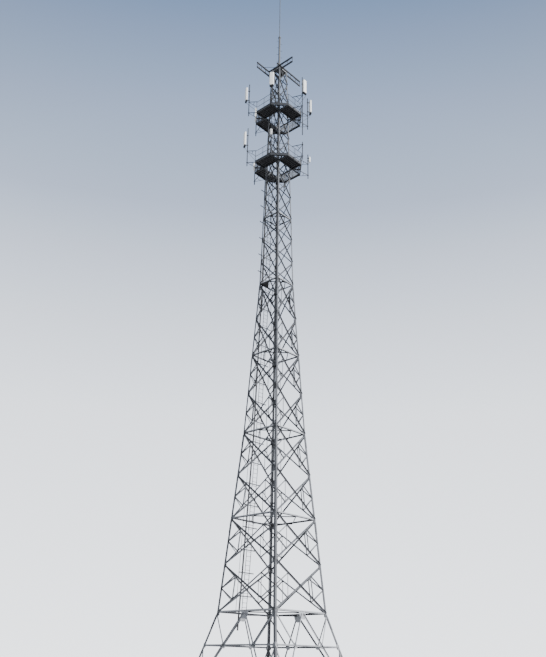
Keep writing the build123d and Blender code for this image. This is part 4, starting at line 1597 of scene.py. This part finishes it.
# The arms' starts and ends, seen from above
ARMS = (((-0.55, -0.072), (0.85, -0.072)), ((0.09, -0.25), (0.09, 1.33)), ((-0.55, -0.86), (-0.55, 0.25)))
ARM_POST_PITCH = 0.31
ARM_POST = 0.018
ARM_BAR = 0.014
STRUT = ((-0.55, -0.49), (-0.08, -0.072))
HEAD_HALF = 0.25
HEAD_BASE = HEAD + 0.020
MAST_TOP = HEAD_BASE + 2.05
MAST_RIB = [(0.044, 0.0), (0.088, 0.0), (0.088, 0.01), (0.048, 0.10), (0.044, 0.10)]
MAST_COLLAR = 0.092
COLLAR_HEIGHT = 0.010
PEG_COUNT = 9
PEG_FIRST = 0.22
PEG_PITCH = 0.2
PEG_TURN = 225
PEG_RADIUS = 0.007
PEG_LENGTH = 0.085


class TOWER_OT_head(bpy.types.Operator):
    """Makes the head frame's arms, the mast's pegs and the fittings of the lightning rod"""
    bl_idname = "tower.head"
    bl_label = "Head frame and mast"

    def execute(self, context):
        fasteners = context.scene.tower_fasteners
        solids = Solids()
        edge = 0.03 - HEAD_HALF
        for quarter in range(4):
            solids.turn_to(quarter)
            solids.angle(
                Vector((-HEAD_HALF, edge, HEAD)), Vector((HEAD_HALF, edge, HEAD)), UP, 0.06, 0.02, 0.005
            )
        solids.turn_to(FRONT)
        solids.plate(
            Vector((0, 0, HEAD + 0.005)), TO_RIGHT, UP,
            [(-0.11, -HEAD_HALF), (0.11, -HEAD_HALF), (0.11, HEAD_HALF), (-0.11, HEAD_HALF)], 0.015,
        )
        edge = ARM_WIDTH / 2
        inner = edge - ARM_BEND
        tube = [
            (-inner, 0), (inner, 0), (edge, ARM_BEND), (edge, ARM_WIDTH - ARM_BEND), (inner, ARM_WIDTH),
            (-inner, ARM_WIDTH), (-edge, ARM_WIDTH - ARM_BEND), (-edge, ARM_BEND),
        ]
        for start, end in ARMS:
            near = Vector((*start, HEAD_BASE))
            far = Vector((*end, HEAD_BASE))
            for lift in (0, ARM_RISE):
                solids.prism(tube, near + UP * lift, far - near, (far - near).cross(UP).normalized(), UP)
            count = round((far - near).length / ARM_POST_PITCH)
            along = (far - near).normalized()
            for number in range(count + 1):
                foot = near.lerp(far, number / count)
                foot += along * 0.012 * (1 if number == 0 else -1 if number == count else 0)
                solids.block(foot + UP * (ARM_RISE / 2 + 0.010), (ARM_POST, ARM_POST, ARM_RISE + 0.004))
                if number < count:
                    following = near.lerp(far, (number + 1) / count)
                    low, high = (foot, following) if number % 2 else (following, foot)
                    solids.flat(
                        low + UP * 0.010, high + UP * (ARM_RISE + 0.004), along.cross(UP), ARM_BAR, 0.004
                    )
        low, high = (Vector((*place, HEAD_BASE + ARM_RISE)) for place in STRUT)
        solids.angle(low, high, UP, 0.022, 0.020, 0.003)
        solids.piece("head_arms", "sooty_shaded_steel", "galvanised_steel", "head_frame")
        fittings = Solids()
        pegs = Points()
        bolts = Points()
        for spoke in range(8):
            turn = 45 * spoke
            foot = around(turn, 0, -0.003, HEAD_BASE + COLLAR_HEIGHT)
            fittings.prism(MAST_RIB, foot, around(turn, 0, 0.006), around(turn, 1), UP)
            bolts.add(around(turn + 22.5, 0.075, 0, HEAD_BASE + COLLAR_HEIGHT), UP)
        fittings.rod(UP * HEAD_BASE, UP * (HEAD_BASE + COLLAR_HEIGHT), MAST_COLLAR, 32)
        for number in range(PEG_COUNT):
            turn = PEG_TURN + 180 * (number % 2)
            height = HEAD_BASE + PEG_FIRST + number * PEG_PITCH
            pegs.add(around(turn, 0.042, 0, height), around(turn, 1))
        for spoke in range(6):
            bolts.add(around(60 * spoke, 0.054, 0, MAST_TOP), UP)
        fittings.rod(UP * MAST_TOP, UP * (MAST_TOP + 0.07), 0.024, 20)
        for height in (MAST_TOP + 0.62, MAST_TOP + 1.24):
            fittings.rod(UP * height, UP * (height + 0.05), 0.0195, 18)
        fittings.piece("mast_fittings", "steel", "galvanised_steel")
        pegs.piece("mast_pegs", "rod", (PEG_RADIUS, PEG_LENGTH), "bright_steel", "galvanised_steel")
        bolt_piece(bolts, "mast_bolts", fasteners)
        return {"FINISHED"}


FLOOR_REACH = 160.0
FLOOR_LEVEL = -0.001

# The view: its way over the ground, its rise and roll in degrees, and its point from the axis
VIEW_ACROSS = (-0.6732, 0.7395)
VIEW_PITCH = 24.25
VIEW_ROLL = 0.85
VIEW_POINT = Vector((17.39, -19.26, 1.455))
LENS = 41.04
HORIZON_LIGHT = (2.5, 2.6, 2.75, 1)
ZENITH_LIGHT = (0.20, 0.34, 0.62, 1)

# The lamps by strength, spread, heading and height, the last three in degrees
LAMPS = (("key", 8.0, 6, 12, 22), ("fill", 0.7, 40, 285, 20))


class TOWER_OT_stage(bpy.types.Operator):
    """Sets the pale floor, the soft light and the camera"""
    bl_idname = "tower.stage"
    bl_label = "Stage"

    def execute(self, context):
        scene = context.scene
        mesh = bpy.data.meshes.new("floor")
        corners = ((-1, -1), (1, -1), (1, 1), (-1, 1))
        mesh.from_pydata(
            [(x * FLOOR_REACH, y * FLOOR_REACH, FLOOR_LEVEL) for x, y in corners], [], [(0, 1, 2, 3)]
        )
        mesh.materials.append(finish_named("pale_floor"))
        floor = bpy.data.objects.new("floor", mesh)
        scene.collection.objects.link(floor)

        world = bpy.data.worlds.new("studio")
        world.use_nodes = True
        tree = world.node_tree
        sky = next(node for node in tree.nodes if node.type == "BACKGROUND")
        way = add_node(tree, "ShaderNodeTexCoord").outputs["Generated"]
        rise = add_node(tree, "ShaderNodeSeparateXYZ", sockets={0: way}).outputs["Z"]
        share = add_node(
            tree, "ShaderNodeValToRGB", {"stops": ((0.0, 0.0), (0.30, 0.30), (0.55, 0.80), (0.78, 1.0))},
            {0: rise},
        )
        colour = add_node(
            tree, "ShaderNodeMix", {"data_type": "RGBA"},
            {0: share.outputs[0], 6: HORIZON_LIGHT, 7: ZENITH_LIGHT},
        )
        tree.links.new(colour.outputs[2], sky.inputs["Color"])
        ahead = add_node(
            tree, "ShaderNodeVectorMath", {"operation": "DOT_PRODUCT"}, {0: way, 1: (*VIEW_ACROSS, 0.0)}
        )
        dim = add_node(
            tree, "ShaderNodeMapRange", {}, {0: ahead.outputs["Value"], 1: 0.1, 2: 0.75, 3: 0.30, 4: 1.0}
        )
        tree.links.new(dim.outputs[0], sky.inputs["Strength"])
        scene.world = world
        for name, strength, spread, heading, height in LAMPS:
            lamp = bpy.data.lights.new(name, "SUN")
            lamp.energy = strength
            lamp.angle = math.radians(spread)
            thing = bpy.data.objects.new(name, lamp)
            toward = around(heading, math.cos(math.radians(height)), 0, math.sin(math.radians(height)))
            thing.rotation_mode = "QUATERNION"
            thing.rotation_quaternion = toward.to_track_quat("Z", "Y")
            scene.collection.objects.link(thing)

        lens = bpy.data.cameras.new("camera")
        lens.lens = LENS
        lens.clip_end = 500.0
        camera = bpy.data.objects.new("camera", lens)
        pitch = math.radians(VIEW_PITCH)
        forward = Vector((*(share * math.cos(pitch) for share in VIEW_ACROSS), math.sin(pitch)))
        turn = forward.to_track_quat("-Z", "Y").to_matrix().to_4x4()
        camera.matrix_world = (
            Matrix.Translation(AXIS + VIEW_POINT) @ turn @ Matrix.Rotation(math.radians(VIEW_ROLL), 4, "Z")
        )
        scene.collection.objects.link(camera)
        scene.camera = camera
        return {"FINISHED"}


class TOWER_PT_parts(bpy.types.Panel):
    """Lists the steps that dress the tower, and their sizes and colours"""
    bl_idname = "TOWER_PT_parts"
    bl_label = "Tower"
    bl_space_type = "VIEW_3D"
    bl_region_type = "UI"
    bl_category = "Tower"

    def draw(self, context):
        for step in STEPS:
            self.layout.operator(step.bl_idname)
        for name in GROUPS:
            group = getattr(context.scene, name)
            for label in group.bl_rna.properties.keys():
                if label not in ("rna_type", "name"):
                    self.layout.prop(group, label)


STEPS = (
    TOWER_OT_finishes, TOWER_OT_bracing, TOWER_OT_feet, TOWER_OT_splices, TOWER_OT_rack,
    TOWER_OT_platforms, TOWER_OT_brackets, TOWER_OT_antennas, TOWER_OT_radios, TOWER_OT_head, TOWER_OT_stage,
)
GROUPS = {
    "tower_members": MemberSizes,
    "tower_fasteners": FastenerSizes,
    "tower_platforms": PlatformSizes,
    "tower_colours": FinishColours,
}


def register():
    """Registers the groups, operators and panel."""
    for group in GROUPS.values():
        bpy.utils.register_class(group)
    for name, group in GROUPS.items():
        setattr(bpy.types.Scene, name, bpy.props.PointerProperty(type=group))
    for step in STEPS:
        bpy.utils.register_class(step)
    bpy.utils.register_class(TOWER_PT_parts)


def unregister():
    """Takes away what register added."""
    bpy.utils.unregister_class(TOWER_PT_parts)
    for step in reversed(STEPS):
        bpy.utils.unregister_class(step)
    for name, group in GROUPS.items():
        delattr(bpy.types.Scene, name)
        bpy.utils.unregister_class(group)


def main():
    """Runs every step in order."""
    register()
    for step in STEPS:
        section, name = step.bl_idname.split(".")
        getattr(getattr(bpy.ops, section), name)()


if __name__ == "__main__":
    main()
